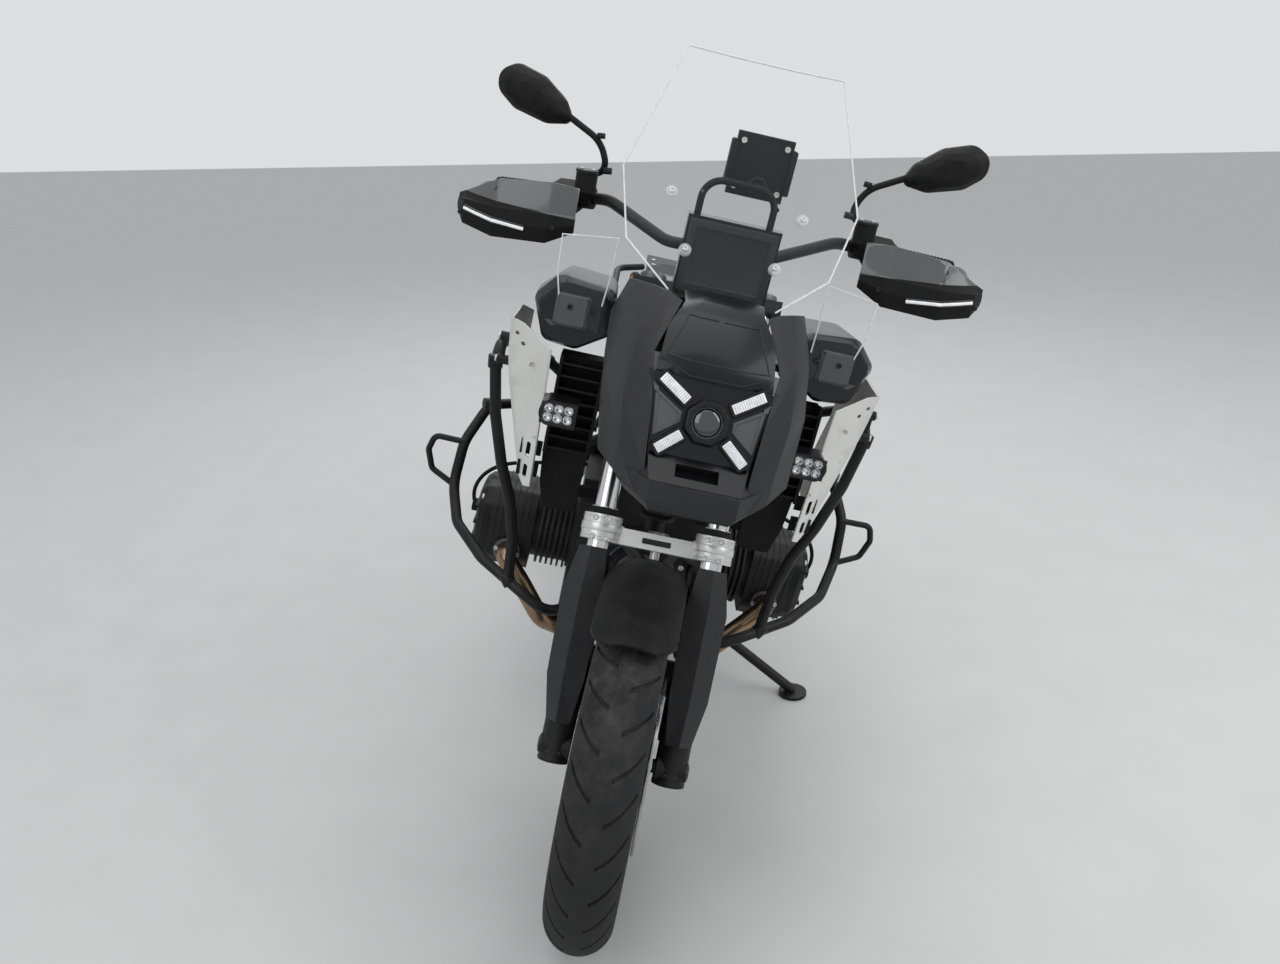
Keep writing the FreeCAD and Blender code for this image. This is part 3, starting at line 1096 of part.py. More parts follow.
bar_pieces = [tube("bar_main", bar_line, 60.0, "guard_tube"),
              tube("bar_upright", upright_line, 50.0, "guard_tube"),
              tube("bar_slider", slide_line, 16.0, 6.5),
              rod("bar_lug_high", (334.0, 360.0, 934.0), (1, 0, 0), 9.0, 24.0),
              rod("bar_lug_low", (332.0, 360.0, 890.0), (1, 0, 0), 9.0, 26.0),
              rod_between("bar_lug_post", (350.0, 360.0, 940.0), (350.0, 360.0, 886.0), 5.0),
              rod_between("bar_lug_stay", (351.0, 360.0, 890.0), (364.0, 398.0, 868.0), 6.0)]
pair("crash_bar", "chassis",
     cut("crash_bar_cut", fused("crash_bar", bar_pieces), side_panel))

# Side stand: a leg on an inclined pin, its sole flat on the ground.
up_ground = Vector(-math.sin(lean), 0, math.cos(lean))
sole = Vector(475.0 * math.cos(lean), 690.0, 475.0 * math.sin(lean))
hinge = Vector(172.0, 722.0, 262.0)
down_way = (sole - hinge).normalize()
fold_way = Vector(0.05, 0.99, -0.05).normalize()
hinge_axis = down_way.cross(fold_way).normalize()
stand_eye = rod("stand_eye", hinge - hinge_axis * 12.6, hinge_axis, 17.0, 25.2)
stand_leg = rod_between("stand_leg", hinge, sole + up_ground * 10.0, "stand_leg")
stand_foot = rod("stand_foot", sole, up_ground, "stand_foot", "stand_sole")
stand_nub = rod_between("stand_nub", hinge + down_way * 190.0,
                        hinge + down_way * 190.0 + Vector(10.0, 34.0, -18.0), 6.0)
node("side_stand", "side_stand",
     cut("side_stand", fused("side_stand_solid", [stand_eye, stand_leg, stand_foot, stand_nub]),
         rod("stand_bore", hinge - hinge_axis * 30.0, hinge_axis, (8.0, "clearance"), 60.0)))
bracket = [rod("stand_pin", hinge - hinge_axis * 25.0, hinge_axis, 8.0, 50.0)]
straps = {1: [(-44.0, 0.0, 41.0)], -1: [(-38.0, 0.0, 2.0), (-50.0, 0.0, 58.0)]}
for end in (1, -1):
    cheek = hinge + hinge_axis * (end * 19.0)
    run = [tuple(cheek)] + [tuple(cheek + Vector(*step)) for step in straps[end]]
    bracket += [rod("stand_cheek%d" % end, hinge + hinge_axis * (end * 13.0), hinge_axis * end,
                    18.0, 12.0),
                tube("stand_strap%d" % end, run, 14.0, 6.0)]
node("engine_block", "chassis",
     fused("engine_block", [crankcase, airbox] + side_covers + front_cover + bracket + skid_posts))

group_turn = {
    "chassis": Placement(Vector(), lean_turn),
    "steering": Placement(Vector(), lean_turn) * Placement(Vector(), steer_turn, axis_foot),
}
group_turn["front_wheel"] = group_turn["steering"]
group_turn["rear_wheel"] = group_turn["chassis"]
group_turn["side_stand"] = group_turn["chassis"]
wheel_centre = {"front_wheel": front_axle, "rear_wheel": rear_axle}
for label, group, piece in nodes:
    own = piece.Placement
    if group in wheel_centre:
        own = Placement(wheel_centre[group], Rotation()) * own
    piece.Placement = group_turn[group] * own
doc.recompute()

broken = [item.Label for item in doc.Objects if {"Invalid", "Error"} & set(item.State)]
broken += [label for label, group, piece in nodes
           if piece.Shape.isNull() or not piece.Shape.isValid()]
if broken:
    raise RuntimeError("failed: " + ", ".join(broken))

whole = FreeCAD.BoundBox()
for label, group, piece in nodes:
    whole.add(piece.Shape.optimalBoundingBox(False, False))
shift = Placement(Vector(-whole.Center.x, -whole.Center.y, 0), Rotation())
for label, group, piece in nodes:
    piece.Placement = shift * piece.Placement
doc.recompute()

os.makedirs("parts", exist_ok=True)
for label, group, piece in nodes:
    piece.Shape.exportStep(os.path.join("parts", label + ".step"))
print("nodes", len(nodes), "shift", shift.Base, "size", whole.XLength, whole.YLength, whole.ZLength)
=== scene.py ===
import json
import math
import bpy
from mathutils import Matrix, Vector


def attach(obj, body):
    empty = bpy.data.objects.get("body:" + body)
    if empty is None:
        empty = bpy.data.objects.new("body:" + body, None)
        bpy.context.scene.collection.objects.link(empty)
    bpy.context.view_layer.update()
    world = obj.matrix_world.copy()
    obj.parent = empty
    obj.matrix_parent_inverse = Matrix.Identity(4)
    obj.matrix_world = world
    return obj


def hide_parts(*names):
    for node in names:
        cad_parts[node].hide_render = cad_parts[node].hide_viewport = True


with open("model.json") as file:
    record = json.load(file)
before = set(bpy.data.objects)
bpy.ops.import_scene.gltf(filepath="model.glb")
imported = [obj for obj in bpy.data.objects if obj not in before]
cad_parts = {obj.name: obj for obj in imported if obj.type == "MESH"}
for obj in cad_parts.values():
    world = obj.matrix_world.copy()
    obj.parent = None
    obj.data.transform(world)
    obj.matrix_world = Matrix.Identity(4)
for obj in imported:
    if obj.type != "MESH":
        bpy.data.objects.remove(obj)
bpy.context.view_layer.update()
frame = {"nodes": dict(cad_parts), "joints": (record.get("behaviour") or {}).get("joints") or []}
nodes = frame["nodes"]
joints = {joint["name"]: joint for joint in frame["joints"]}

# Stance of the motorcycle: pieces are modelled upright, with straight steering, in metres.
stance = {"lean": 13.3, "steer": -6.4, "headAngle": 63.8}
left, ahead, up = Vector((1, 0, 0)), Vector((0, -1, 0)), Vector((0, 0, 1))
rearAxle = Vector((0.0, 1.518, 0.32034))
leanTurn = Matrix.Rotation(math.radians(stance["lean"]), 4, "Y")
shift = Vector(joints["rear_wheel"]["pos_m"]) - leanTurn @ rearAxle
leanFrame = Matrix.Translation(shift) @ leanTurn
upright = leanFrame.inverted()
steerFoot = upright @ Vector(joints["steering"]["pos_m"])
headAngle = math.radians(stance["headAngle"])
steerAxis = Vector((0, math.cos(headAngle), math.sin(headAngle)))
forkAhead = Vector((0, -math.sin(headAngle), math.cos(headAngle)))
steerFrame = (leanFrame @ Matrix.Translation(steerFoot)
              @ Matrix.Rotation(math.radians(stance["steer"]), 4, steerAxis)
              @ Matrix.Translation(-steerFoot))
frontAxle = steerFrame.inverted() @ Vector(joints["front_wheel"]["pos_m"])
fork = "steering"
frames = {"chassis": leanFrame, "rear_wheel": leanFrame, fork: steerFrame,
          "front_wheel": steerFrame}


def addNode(tree, kind, settings=None, **values):
    node = tree.nodes.new("ShaderNode" + kind)
    for key, value in (settings or {}).items():
        setattr(node, key, value)
    for key, value in values.items():
        node.inputs[key].default_value = value
    return node


def addMath(tree, operation, second=None):
    node = addNode(tree, "Math", {"operation": operation})
    if second is not None:
        node.inputs[1].default_value = second
    return node


# A ramp from one range of values to another.
def addRamp(tree, fromLow=0.0, fromHigh=1.0, toLow=0.0, toHigh=1.0):
    node = addNode(tree, "MapRange")
    for key, value in (("From Min", fromLow), ("From Max", fromHigh), ("To Min", toLow),
                       ("To Max", toHigh)):
        node.inputs[key].default_value = value
    return node


# Links, each as source, its output, target and its input.
def wire(tree, *links):
    for source, output, target, entry in links:
        tree.links.new(source.outputs[output], target.inputs[entry])


def newGroup(name, inputs, outputs):
    group = bpy.data.node_groups.new(name, "ShaderNodeTree")
    for label, kind, value in inputs:
        socket = group.interface.new_socket(label, in_out="INPUT", socket_type="NodeSocket" + kind)
        if value is not None:
            socket.default_value = value
    for label, kind in outputs:
        group.interface.new_socket(label, in_out="OUTPUT", socket_type="NodeSocket" + kind)
    return group, group.nodes.new("NodeGroupInput"), group.nodes.new("NodeGroupOutput")


# Grain: fine height for bumps and a slow patch for shade and gloss changes.
grainGroup, entry, out = newGroup(
    "surfaceGrain", [("Vector", "Vector", None), ("Scale", "Float", 400.0)],
    [("Height", "Float"), ("Patch", "Float")])
fine = addNode(grainGroup, "TexNoise", Detail=3.0, Roughness=0.6)
slow = addNode(grainGroup, "TexNoise", Scale=9.0, Detail=4.0, Roughness=0.55)
wire(grainGroup, (entry, "Vector", fine, "Vector"), (entry, "Scale", fine, "Scale"),
     (entry, "Vector", slow, "Vector"), (fine, "Fac", out, "Height"), (slow, "Fac", out, "Patch"))

# Worn edges: where a rounded normal leaves the flat one, and that rounded normal itself.
edgeGroup, entry, out = newGroup("wornEdge", [("Radius", "Float", 0.0015)],
                                 [("Mask", "Float"), ("Normal", "Vector")])
rounded = addNode(edgeGroup, "Bevel", {"samples": 4})
shape = addNode(edgeGroup, "NewGeometry")
dot = addNode(edgeGroup, "VectorMath", {"operation": "DOT_PRODUCT"})
ramp = addRamp(edgeGroup, 0.999, 0.93)
wire(edgeGroup, (entry, "Radius", rounded, "Radius"), (rounded, "Normal", dot, 0),
     (shape, "Normal", dot, 1), (dot, "Value", ramp, "Value"), (ramp, "Result", out, "Mask"),
     (rounded, "Normal", out, "Normal"))

# Dust that settles on what faces up, in patches.
dustGroup, entry, out = newGroup(
    "settledDust", [("Vector", "Vector", None), ("Amount", "Float", 0.3)], [("Mask", "Float")])
shape = addNode(dustGroup, "NewGeometry")
split = addNode(dustGroup, "SeparateXYZ")
facing = addRamp(dustGroup, 0.1, 1.0, 0.15)
cloud = addNode(dustGroup, "TexNoise", Scale=26.0, Detail=6.0, Roughness=0.7)
sharp = addRamp(dustGroup, 0.42, 0.72)
both, scaled = addMath(dustGroup, "MULTIPLY"), addMath(dustGroup, "MULTIPLY")
wire(dustGroup, (shape, "Normal", split, "Vector"), (split, "Z", facing, "Value"),
     (entry, "Vector", cloud, "Vector"), (cloud, "Fac", sharp, "Value"),
     (facing, "Result", both, 0), (sharp, "Result", both, 1), (both, "Value", scaled, 0),
     (entry, "Amount", scaled, 1), (scaled, "Value", out, "Mask"))


def useGroup(tree, group, **values):
    node = addNode(tree, "Group", {"node_tree": group})
    for key, value in values.items():
        node.inputs[key].default_value = value
    return node


# A mix of two colours: inputs 6 and 7, output 2.
def mixColour(tree, first, second):
    node = addNode(tree, "Mix", {"data_type": "RGBA"})
    node.inputs[6].default_value = (*first, 1.0)
    node.inputs[7].default_value = (*second, 1.0)
    return node


def newMaterial(name):
    material = bpy.data.materials.new(name)
    material.use_nodes = True
    tree = material.node_tree
    return material, tree, tree.nodes["Principled BSDF"], addNode(tree, "TexCoord")


dustColour = (0.36, 0.34, 0.31)
wearShare, softEdge, grainDeep = 0.5, 0.0015, 0.0004


# A finish with grain, slow shade changes, softened and worn edges, and settled dust.
def finishOf(name, colour, rough, bump, grain=500.0, metal=0.0, dust=0.0, specular=0.5, rest=None):
    more = {"spread": 0.08, "shade": tuple(0.72 * part for part in colour), "wear": None,
            "coat": 0.0, "coatRough": 0.05, "stretch": (1.0, 1.0, 1.0), **(rest or {})}
    material, tree, shader, place = newMaterial(name)
    mapping = addNode(tree, "Mapping", Scale=more["stretch"])
    grained = useGroup(tree, grainGroup, Scale=grain)
    edge = useGroup(tree, edgeGroup, Radius=softEdge)
    last = mixColour(tree, more["shade"], colour)
    wire(tree, (place, "Object", mapping, "Vector"), (mapping, "Vector", grained, "Vector"),
         (grained, "Patch", last, "Factor"))
    if more["wear"]:
        worn = mixColour(tree, colour, more["wear"])
        patchy, amount = addMath(tree, "MULTIPLY"), addMath(tree, "MULTIPLY", wearShare)
        wire(tree, (edge, "Mask", patchy, 0), (grained, "Patch", patchy, 1),
             (patchy, "Value", amount, 0), (amount, 0, worn, "Factor"), (last, 2, worn, 6))
        last = worn
    if dust:
        dusty = mixColour(tree, colour, dustColour)
        fallen = useGroup(tree, dustGroup, Amount=dust)
        wire(tree, (place, "Object", fallen, "Vector"), (fallen, "Mask", dusty, "Factor"),
             (last, 2, dusty, 6))
        last = dusty
    gloss = addRamp(tree, toLow=max(0.02, rough - more["spread"]),
                    toHigh=min(1.0, rough + more["spread"]))
    raised = addNode(tree, "Bump", Strength=bump, Distance=grainDeep)
    wire(tree, (last, 2, shader, "Base Color"), (grained, "Patch", gloss, "Value"),
         (gloss, "Result", shader, "Roughness"), (grained, "Height", raised, "Height"),
         (edge, "Normal", raised, "Normal"), (raised, "Normal", shader, "Normal"))
    for key, value in (("Metallic", metal), ("Coat Weight", more["coat"]),
                       ("Coat Roughness", more["coatRough"]), ("Specular IOR Level", specular)):
        shader.inputs[key].default_value = value
    return material


# Thin clear plastic: mostly see-through, with a painted bright rim where it is seen edge on, a pale
# colour standing in for the sheen there.
def clearSheetOf(name, tint, rim):
    material, tree, shader, place = newMaterial(name)
    facing = addNode(tree, "LayerWeight", Blend=0.25)
    haze = useGroup(tree, grainGroup, Scale=60.0)
    # The pale colour grows opaque towards glancing angles: a painted sheen on the rim.
    cover = addRamp(tree, fromLow=0.55, toLow=tint, toHigh=rim)
    gloss = addRamp(tree, toLow=0.02, toHigh=0.12)
    wire(tree, (place, "Object", haze, "Vector"), (facing, "Facing", cover, "Value"),
         (cover, "Result", shader, "Alpha"), (haze, "Patch", gloss, "Value"),
         (gloss, "Result", shader, "Roughness"))
    shader.inputs["Base Color"].default_value = (0.75, 0.78, 0.8, 1.0)
    shader.inputs["Specular IOR Level"].default_value = 0.8
    return material


# A bright surface with small cells that shines a little by itself: lamp lights, and a painted
# highlight that glows on the cut edges of the screen sheets.
def glowOf(name, colour, strength):
    material, tree, shader, place = newMaterial(name)
    cell = addNode(tree, "TexVoronoi", Scale=140.0)
    glow = mixColour(tree, tuple(0.75 * part for part in colour), colour)
    wire(tree, (place, "Object", cell, "Vector"), (cell, "Distance", glow, "Factor"),
         (glow, 2, shader, "Base Color"), (glow, 2, shader, "Emission Color"))
    shader.inputs["Emission Strength"].default_value = strength
    shader.inputs["Roughness"].default_value = 0.25
    return material


black = (0.008, 0.008, 0.009)
paints = [  # name, colour, roughness, bump, grain, metal, dust, specular, the rest
    ("framePaint", black, 0.42, 0.12, 500, 0, 0.05, 0.3, dict(spread=0.1, wear=(0.1, 0.1, 0.1))),
    ("blackMetal", black, 0.45, 0.2, 700, 0, 0.04, 0.3, dict(spread=0.12, wear=(0.12, 0.12, 0.12))),
    ("blackWheel", black, 0.38, 0.08, 500, 0, 0.06, 0.35),
    ("tyreRubber", (0.026, 0.026, 0.027), 0.78, 0.35, 900, 0, 0.15, 0.2, dict(spread=0.1)),
    ("gripRubber", (0.008, 0.008, 0.008), 0.7, 0.3, 600, 0, 0, 0.25),
    ("discSteel", (0.6, 0.6, 0.61), 0.28, 0.05, 300, 1),
    ("chromeTube", (0.78, 0.78, 0.8), 0.12, 0.02, 500, 1),
    ("silver", (0.78, 0.78, 0.76), 0.36, 0.08, 260, 0.7, 0.03, 0.5, dict(stretch=(1, 1, 6))),
    ("panelSilver", (0.76, 0.76, 0.73), 0.42, 0.05, 500, 0.15, 0.03, 0.5,
     dict(shade=(0.66, 0.66, 0.63))),
    ("castDark", (0.024, 0.024, 0.026), 0.5, 0.4, 420, 0.3, 0.1, 0.35, dict(wear=(0.2, 0.2, 0.2))),
    ("castGrey", (0.16, 0.16, 0.17), 0.45, 0.35, 420, 0.7, 0.1),
    ("bronzed", (0.42, 0.29, 0.17), 0.3, 0.05, 200, 1, 0, 0.5, dict(shade=(0.2, 0.14, 0.11))),
    ("satinSteel", (0.42, 0.42, 0.43), 0.32, 0.06, 260, 0.9, 0, 0.5, dict(stretch=(1, 8, 1))),
    ("mattBlack", (0.006, 0.006, 0.0065), 0.62, 0.3, 900, 0, 0.04, 0.22),
    ("mattGrey", (0.095, 0.098, 0.1), 0.6, 0.3, 1300),
    ("greyPlastic", (0.02, 0.02, 0.0215), 0.5, 0.25, 1100, 0, 0.04, 0.35),
    ("darkGloss", (0.007, 0.008, 0.011), 0.32, 0.03, 500, 0, 0.03, 0.35,
     dict(spread=0.05, coat=0.25)),
    ("nosePaint", (0.0045, 0.006, 0.01), 0.3, 0.02, 500, 0, 0, 0.25,
     dict(spread=0.04, coat=0.2, coatRough=0.12)),
    ("seatCover", (0.01, 0.01, 0.0105), 0.62, 0.5, 1400, 0, 0, 0.3),
    ("seatPiping", (0.05, 0.05, 0.052), 0.5, 0.1),
    ("displayGloss", (0.003, 0.003, 0.004), 0.18, 0, 500, 0, 0, 0.3, dict(coat=0.1)),
    ("lampShell", (0.005, 0.005, 0.006), 0.3, 0.02, 500, 0, 0, 0.3, dict(coat=0.2)),
    ("springBlack", (0.03, 0.03, 0.032), 0.3, 0.05, 500, 0, 0, 0.5, dict(coat=0.4)),
    ("paintedSlotShade", (0.01, 0.01, 0.011), 0.7, 0.05),
    ("plateWhite", (0.78, 0.78, 0.75), 0.35, 0.02),
    ("mirrorGlass", (0.8, 0.82, 0.84), 0.03, 0, 500, 1, 0, 0.5, dict(spread=0.01)),
    ("reflector", (0.85, 0.86, 0.88), 0.08, 0.02, 500, 1, 0, 0.5, dict(spread=0.03)),
    ("smokedVisor", (0.105, 0.108, 0.112), 0.2, 0.02, 500, 0, 0, 0.5,
     dict(spread=0.04, coat=0.4)),
    ("darkLens", (0.01, 0.011, 0.014), 0.05, 0, 500, 0, 0, 0.9, dict(spread=0.02, coat=1.0)),
    ("tailRed", (0.35, 0.01, 0.01), 0.12, 0.02, 500, 0, 0, 0.5, dict(coat=0.7)),
    ("amber", (0.75, 0.25, 0.03), 0.15, 0.02, 500, 0, 0, 0.5, dict(coat=0.7)),
]
finishes = {row[0]: finishOf(*row) for row in paints}
for name, tint, rim in (("clearSheet", 0.012, 0.5), ("clearBoss", 0.35, 0.9),
                        ("lensSheet", 0.05, 0.6)):
    finishes[name] = clearSheetOf(name, tint, rim)
for name, colour, strength in (("ledWhite", (0.85, 0.87, 0.88), 0.25),
                               ("ledRib", (0.6, 0.62, 0.64), 0.05),
                               ("brightEdge", (0.75, 0.8, 0.82), 0.1)):
    finishes[name] = glowOf(name, colour, strength)
print("finishes", len(finishes))

nodeFinish = {
    "tyreRubber": ["front_tyre", "rear_tyre"], "blackWheel": ["front_rim", "rear_rim"],
    "discSteel": ["front_discs", "rear_disc"], "chromeTube": ["fork_tubes"],
    "blackMetal": ["fork_sliders", "handlebar", "front_calipers", "head_covers", "front_strut",
                   "rear_strut", "crash_bar_left", "crash_bar_right", "side_stand", "rear_rack"],
    "silver": ["fork_bridge", "skid_plate", "foot_pegs"],
    "panelSilver": ["side_panel_left", "side_panel_right"],
    "gripRubber": ["grip_left", "grip_right"],
    "mattBlack": ["hand_guard_left", "hand_guard_right", "mirror_left", "mirror_right",
                  "front_mudguard", "radiator_left", "radiator_right", "device_holder",
                  "tail_unit"],
    "greyPlastic": ["fork_guards", "beak", "side_fairings"],
    "castDark": ["engine_block", "cylinders", "swing_arm", "final_drive", "front_arm"],
    "bronzed": ["exhaust"], "framePaint": ["main_frame", "rear_frame"],
    "darkGloss": ["fuel_tank", "tank_wing_left", "tank_wing_right"],
    "nosePaint": ["nose_panel"], "lampShell": ["headlamp", "aux_lamp_left", "aux_lamp_right"],
    "clearSheet": ["windscreen"], "displayGloss": ["display"],
    "seatCover": ["rider_seat", "passenger_seat"],
}
finishOfNode = {label: finish for finish, labels in nodeFinish.items() for label in labels}
for label, finish in finishOfNode.items():
    nodes[label].data.materials.clear()
    nodes[label].data.materials.append(finishes[finish])
print("node finishes", len(finishOfNode))


def leaveEdit():
    bpy.ops.object.mode_set(mode="OBJECT")


def deselectAll():
    if bpy.context.mode != "OBJECT":
        leaveEdit()
    bpy.ops.object.select_all(action="DESELECT")


def solo(piece):
    deselectAll()
    piece.select_set(True)
    bpy.context.view_layer.objects.active = piece


def freeze(piece):
    solo(piece)
    bpy.ops.object.transform_apply(location=True, rotation=True, scale=True)


# An upright piece goes to its place on the leaning motorcycle and is handed to its body.
def settle(piece, name, finish, body="chassis", smooth=35.0, framed=True):
    piece.name = name
    piece.data.name = name
    if framed:
        piece.matrix_world = frames[body] @ piece.matrix_world
    freeze(piece)
    if smooth:
        bpy.ops.object.shade_smooth_by_angle(angle=math.radians(smooth))
    piece.data.materials.clear()
    piece.data.materials.append(finishes[finish])
    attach(piece, body)
    return piece


def joined(pieces):
    if len(pieces) == 1:
        return pieces[0]
    deselectAll()
    for piece in pieces:
        piece.select_set(True)
    bpy.context.view_layer.objects.active = pieces[0]
    bpy.ops.object.join()
    return bpy.context.view_layer.objects.active


def applyAll(piece):
    solo(piece)
    for modifier in list(piece.modifiers):
        bpy.ops.object.modifier_apply(modifier=modifier.name)
    return piece


# A modifier with its settings, applied at once.
def applied(piece, kind, **settings):
    modifier = piece.modifiers.new("step", kind)
    for key, value in settings.items():
        setattr(modifier, key, value)
    return applyAll(piece)


# A frame at a place whose Z runs along a way, and whose X runs near a side.
def atPlace(place=(0, 0, 0), way=up, side=left):
    along = Vector(way).normalized()
    first = Vector(side)
    if abs(first.normalized().dot(along)) > 0.98:
        first = -ahead
    across = along.cross(first).normalized()
    turn = Matrix((across.cross(along), across, along)).transposed().to_4x4()
    return Matrix.Translation(Vector(place)) @ turn


def newBox(size, place):
    deselectAll()
    bpy.ops.mesh.primitive_cube_add(size=1.0, location=place.translation,
                                    rotation=place.to_euler(), scale=size)
    bpy.ops.object.transform_apply(location=False, rotation=False, scale=True)
    return bpy.context.object


# A rod, or a cone, that starts at the place and runs along its Z.
def newRod(radius, depth, place, sides=32, radiusEnd=None):
    deselectAll()
    bpy.ops.mesh.primitive_cone_add(
        vertices=sides, radius1=radius, radius2=radius if radiusEnd is None else radiusEnd,
        depth=depth, location=place @ Vector((0, 0, depth / 2)), rotation=place.to_euler())
    return bpy.context.object


def newRing(radius, wire, place, around=48, across=8):
    deselectAll()
    bpy.ops.mesh.primitive_torus_add(major_radius=radius, minor_radius=wire,
                                     major_segments=around, minor_segments=across,
                                     location=place.translation, rotation=place.to_euler())
    return bpy.context.object


def editAll(piece):
    solo(piece)
    bpy.ops.object.mode_set(mode="EDIT")
    bpy.ops.mesh.select_mode(type="VERT")
    bpy.ops.mesh.select_all(action="SELECT")


# Half a ball, flattened by its scale, on the side of the place's Z.
def newDome(radius, scale, place, sides=32, rings=16):
    deselectAll()
    bpy.ops.mesh.primitive_uv_sphere_add(segments=sides, ring_count=rings, radius=radius,
                                         location=place.translation,
                                         rotation=place.to_euler(), scale=scale)
    piece = bpy.context.object
    bpy.ops.object.transform_apply(location=False, rotation=False, scale=True)
    editAll(piece)
    bpy.ops.mesh.bisect(plane_co=place.translation, plane_no=place.col[2].xyz, clear_inner=True)
    leaveEdit()
    return piece


def faceOut(piece):
    editAll(piece)
    bpy.ops.mesh.normals_make_consistent(inside=False)
    leaveEdit()
    return piece


# A vertex that is extruded from corner to corner.
def newLine(points):
    deselectAll()
    bpy.ops.mesh.primitive_plane_add(size=0.001, location=points[0])
    bpy.ops.object.mode_set(mode="EDIT")
    bpy.ops.mesh.select_mode(type="VERT")
    bpy.ops.mesh.select_all(action="SELECT")
    bpy.ops.mesh.merge(type="CENTER")
    for before, after in zip(points, points[1:]):
        bpy.ops.mesh.extrude_region_move(
            TRANSFORM_OT_translate={"value": Vector(after) - Vector(before)})
    leaveEdit()
    return bpy.context.object


# A flat plate: an outline that is filled and pushed along a way.
def newPlate(points, push):
    piece = newLine(points)
    editAll(piece)
    bpy.ops.mesh.edge_face_add()
    bpy.ops.mesh.extrude_region_move(TRANSFORM_OT_translate={"value": Vector(push)})
    leaveEdit()
    return faceOut(piece)


# A round pipe along points: a curve with a round bevel, made a mesh.
def newPipe(points, radius, smooth=True, sides=3):
    deselectAll()
    bpy.ops.curve.primitive_nurbs_path_add()
    curve = bpy.context.object
    curve.data.splines.clear()
    spline = curve.data.splines.new("NURBS" if smooth else "POLY")
    spline.points.add(len(points) - 1)
    for knot, point in zip(spline.points, points):
        knot.co = (*point, 1.0)
    if smooth:
        spline.order_u = 3
        spline.use_endpoint_u = True
        spline.resolution_u = 6
    curve.data.bevel_depth = radius
    curve.data.bevel_resolution = sides
    curve.data.use_fill_caps = True
    solo(curve)
    bpy.ops.object.convert(target="MESH")
    return faceOut(bpy.context.object)


def soften(piece, width, segments=2, angle=30.0):
    return applied(piece, "BEVEL", width=width, segments=segments, limit_method="ANGLE",
                   angle_limit=math.radians(angle))


# Copies in a row, each a step further along the piece's own axes.
def repeated(piece, count, step):
    return applied(piece, "ARRAY", count=count, use_relative_offset=False,
                   use_constant_offset=True, constant_offset_displace=step)


def cutBy(piece, tool):
    applied(piece, "BOOLEAN", operation="DIFFERENCE", solver="EXACT", object=tool)
    bpy.data.objects.remove(tool)
    return piece


# Vertices or faces are selected by a list of flags.
def pickListed(piece, kind, flags):
    editAll(piece)
    bpy.ops.mesh.select_mode(type=kind)
    bpy.ops.mesh.select_all(action="DESELECT")
    leaveEdit()
    for item, flag in zip(piece.data.polygons if kind == "FACE" else piece.data.vertices, flags):
        item.select = flag
    bpy.ops.object.mode_set(mode="EDIT")


# Faces are chosen by their centre and normal in the piece's own axes.
def pickFaces(piece, chosen):
    pickListed(piece, "FACE", [bool(chosen(face.center, face.normal))
                               for face in piece.data.polygons])


def onTop(centre, normal):
    return normal.z > 0.9


def topMiddle(reach):
    return lambda centre, normal: normal.z > 0.9 and centre.length < reach


def pushIn(depth):
    bpy.ops.mesh.extrude_region_shrink_fatten(TRANSFORM_OT_shrink_fatten={"value": -depth})
    leaveEdit()


def sunk(piece, rim, depth, chosen=onTop):
    pickFaces(piece, chosen)
    bpy.ops.mesh.inset(thickness=rim)
    pushIn(depth)
    return piece


# A hole right through: both flat ends are inset and bridged.
def hollowed(piece, rim):
    pickFaces(piece, lambda centre, normal: abs(normal.z) > 0.9)
    bpy.ops.mesh.inset(thickness=rim)
    bpy.ops.mesh.bridge_edge_loops()
    leaveEdit()
    return piece


# A flat ring.
def newWasher(radius, inner, thick, place, sides=96):
    return faceOut(hollowed(newRod(radius, thick, place, sides), radius - inner))


def copyOf(piece, place):
    twin = piece.copy()
    twin.data = piece.data.copy()
    bpy.context.scene.collection.objects.link(twin)
    twin.matrix_world = place @ piece.matrix_world
    freeze(twin)
    return twin


# Copies of a piece at a list of places, joined; the piece itself goes.
def copied(piece, places):
    copies = [copyOf(piece, place) for place in places]
    bpy.data.objects.remove(piece)
    return joined(copies)


# A left piece and its mirror image, joined into one.
def twoSided(piece):
    twin = faceOut(copyOf(piece, Matrix.Scale(-1.0, 4, (1, 0, 0))))
    freeze(piece)
    return joined([piece, twin])


def pair(piece, name, finish, body="chassis", smooth=35.0):
    return settle(twoSided(piece), name, finish, body, smooth)


def around(piece, count, centre, axis, first=0.0):
    return copied(piece, [
        Matrix.Translation(centre)
        @ Matrix.Rotation(math.radians(first) + 2 * math.pi * index / count, 4, Vector(axis))
        @ Matrix.Translation(-Vector(centre)) for index in range(count)])


bolt = {"radius": 0.006, "high": 0.004, "rim": 0.0028, "sunk": 0.0025}
boltHead = newRod(bolt["radius"], bolt["high"], Matrix.Identity(4), 20)
soften(sunk(boltHead, bolt["rim"], bolt["sunk"]), 0.0006, 1)


# Bolt heads, each at a place along a way, joined into one piece.
def boltsAt(spots, scale=1.0):
    return joined([copyOf(boltHead, atPlace(place, way) @ Matrix.Scale(scale, 4))
                   for place, way in spots])


# Bolt heads that are settled, as listed or on both sides.
def screws(name, spots, scale=1.0, finish="silver", body="chassis", both=True):
    if both:
        spots = spots + [((-place[0], *place[1:]), (-way[0], *way[1:])) for place, way in spots]
    return settle(boltsAt(spots, scale), name, finish, body)


# Headlamp: four ribbed light bars in a cross, an octagonal ring with its lens, grey corners.
lampUp = Vector((0, 0.04, 0.108)).normalized()
lampOut = Vector((0, -0.108, 0.04)).normalized()
lampMid = Vector((0, -0.0787, 0.99))


def onLamp(across, rise, out=0.0):
    return lampMid + left * across + lampUp * rise + lampOut * out


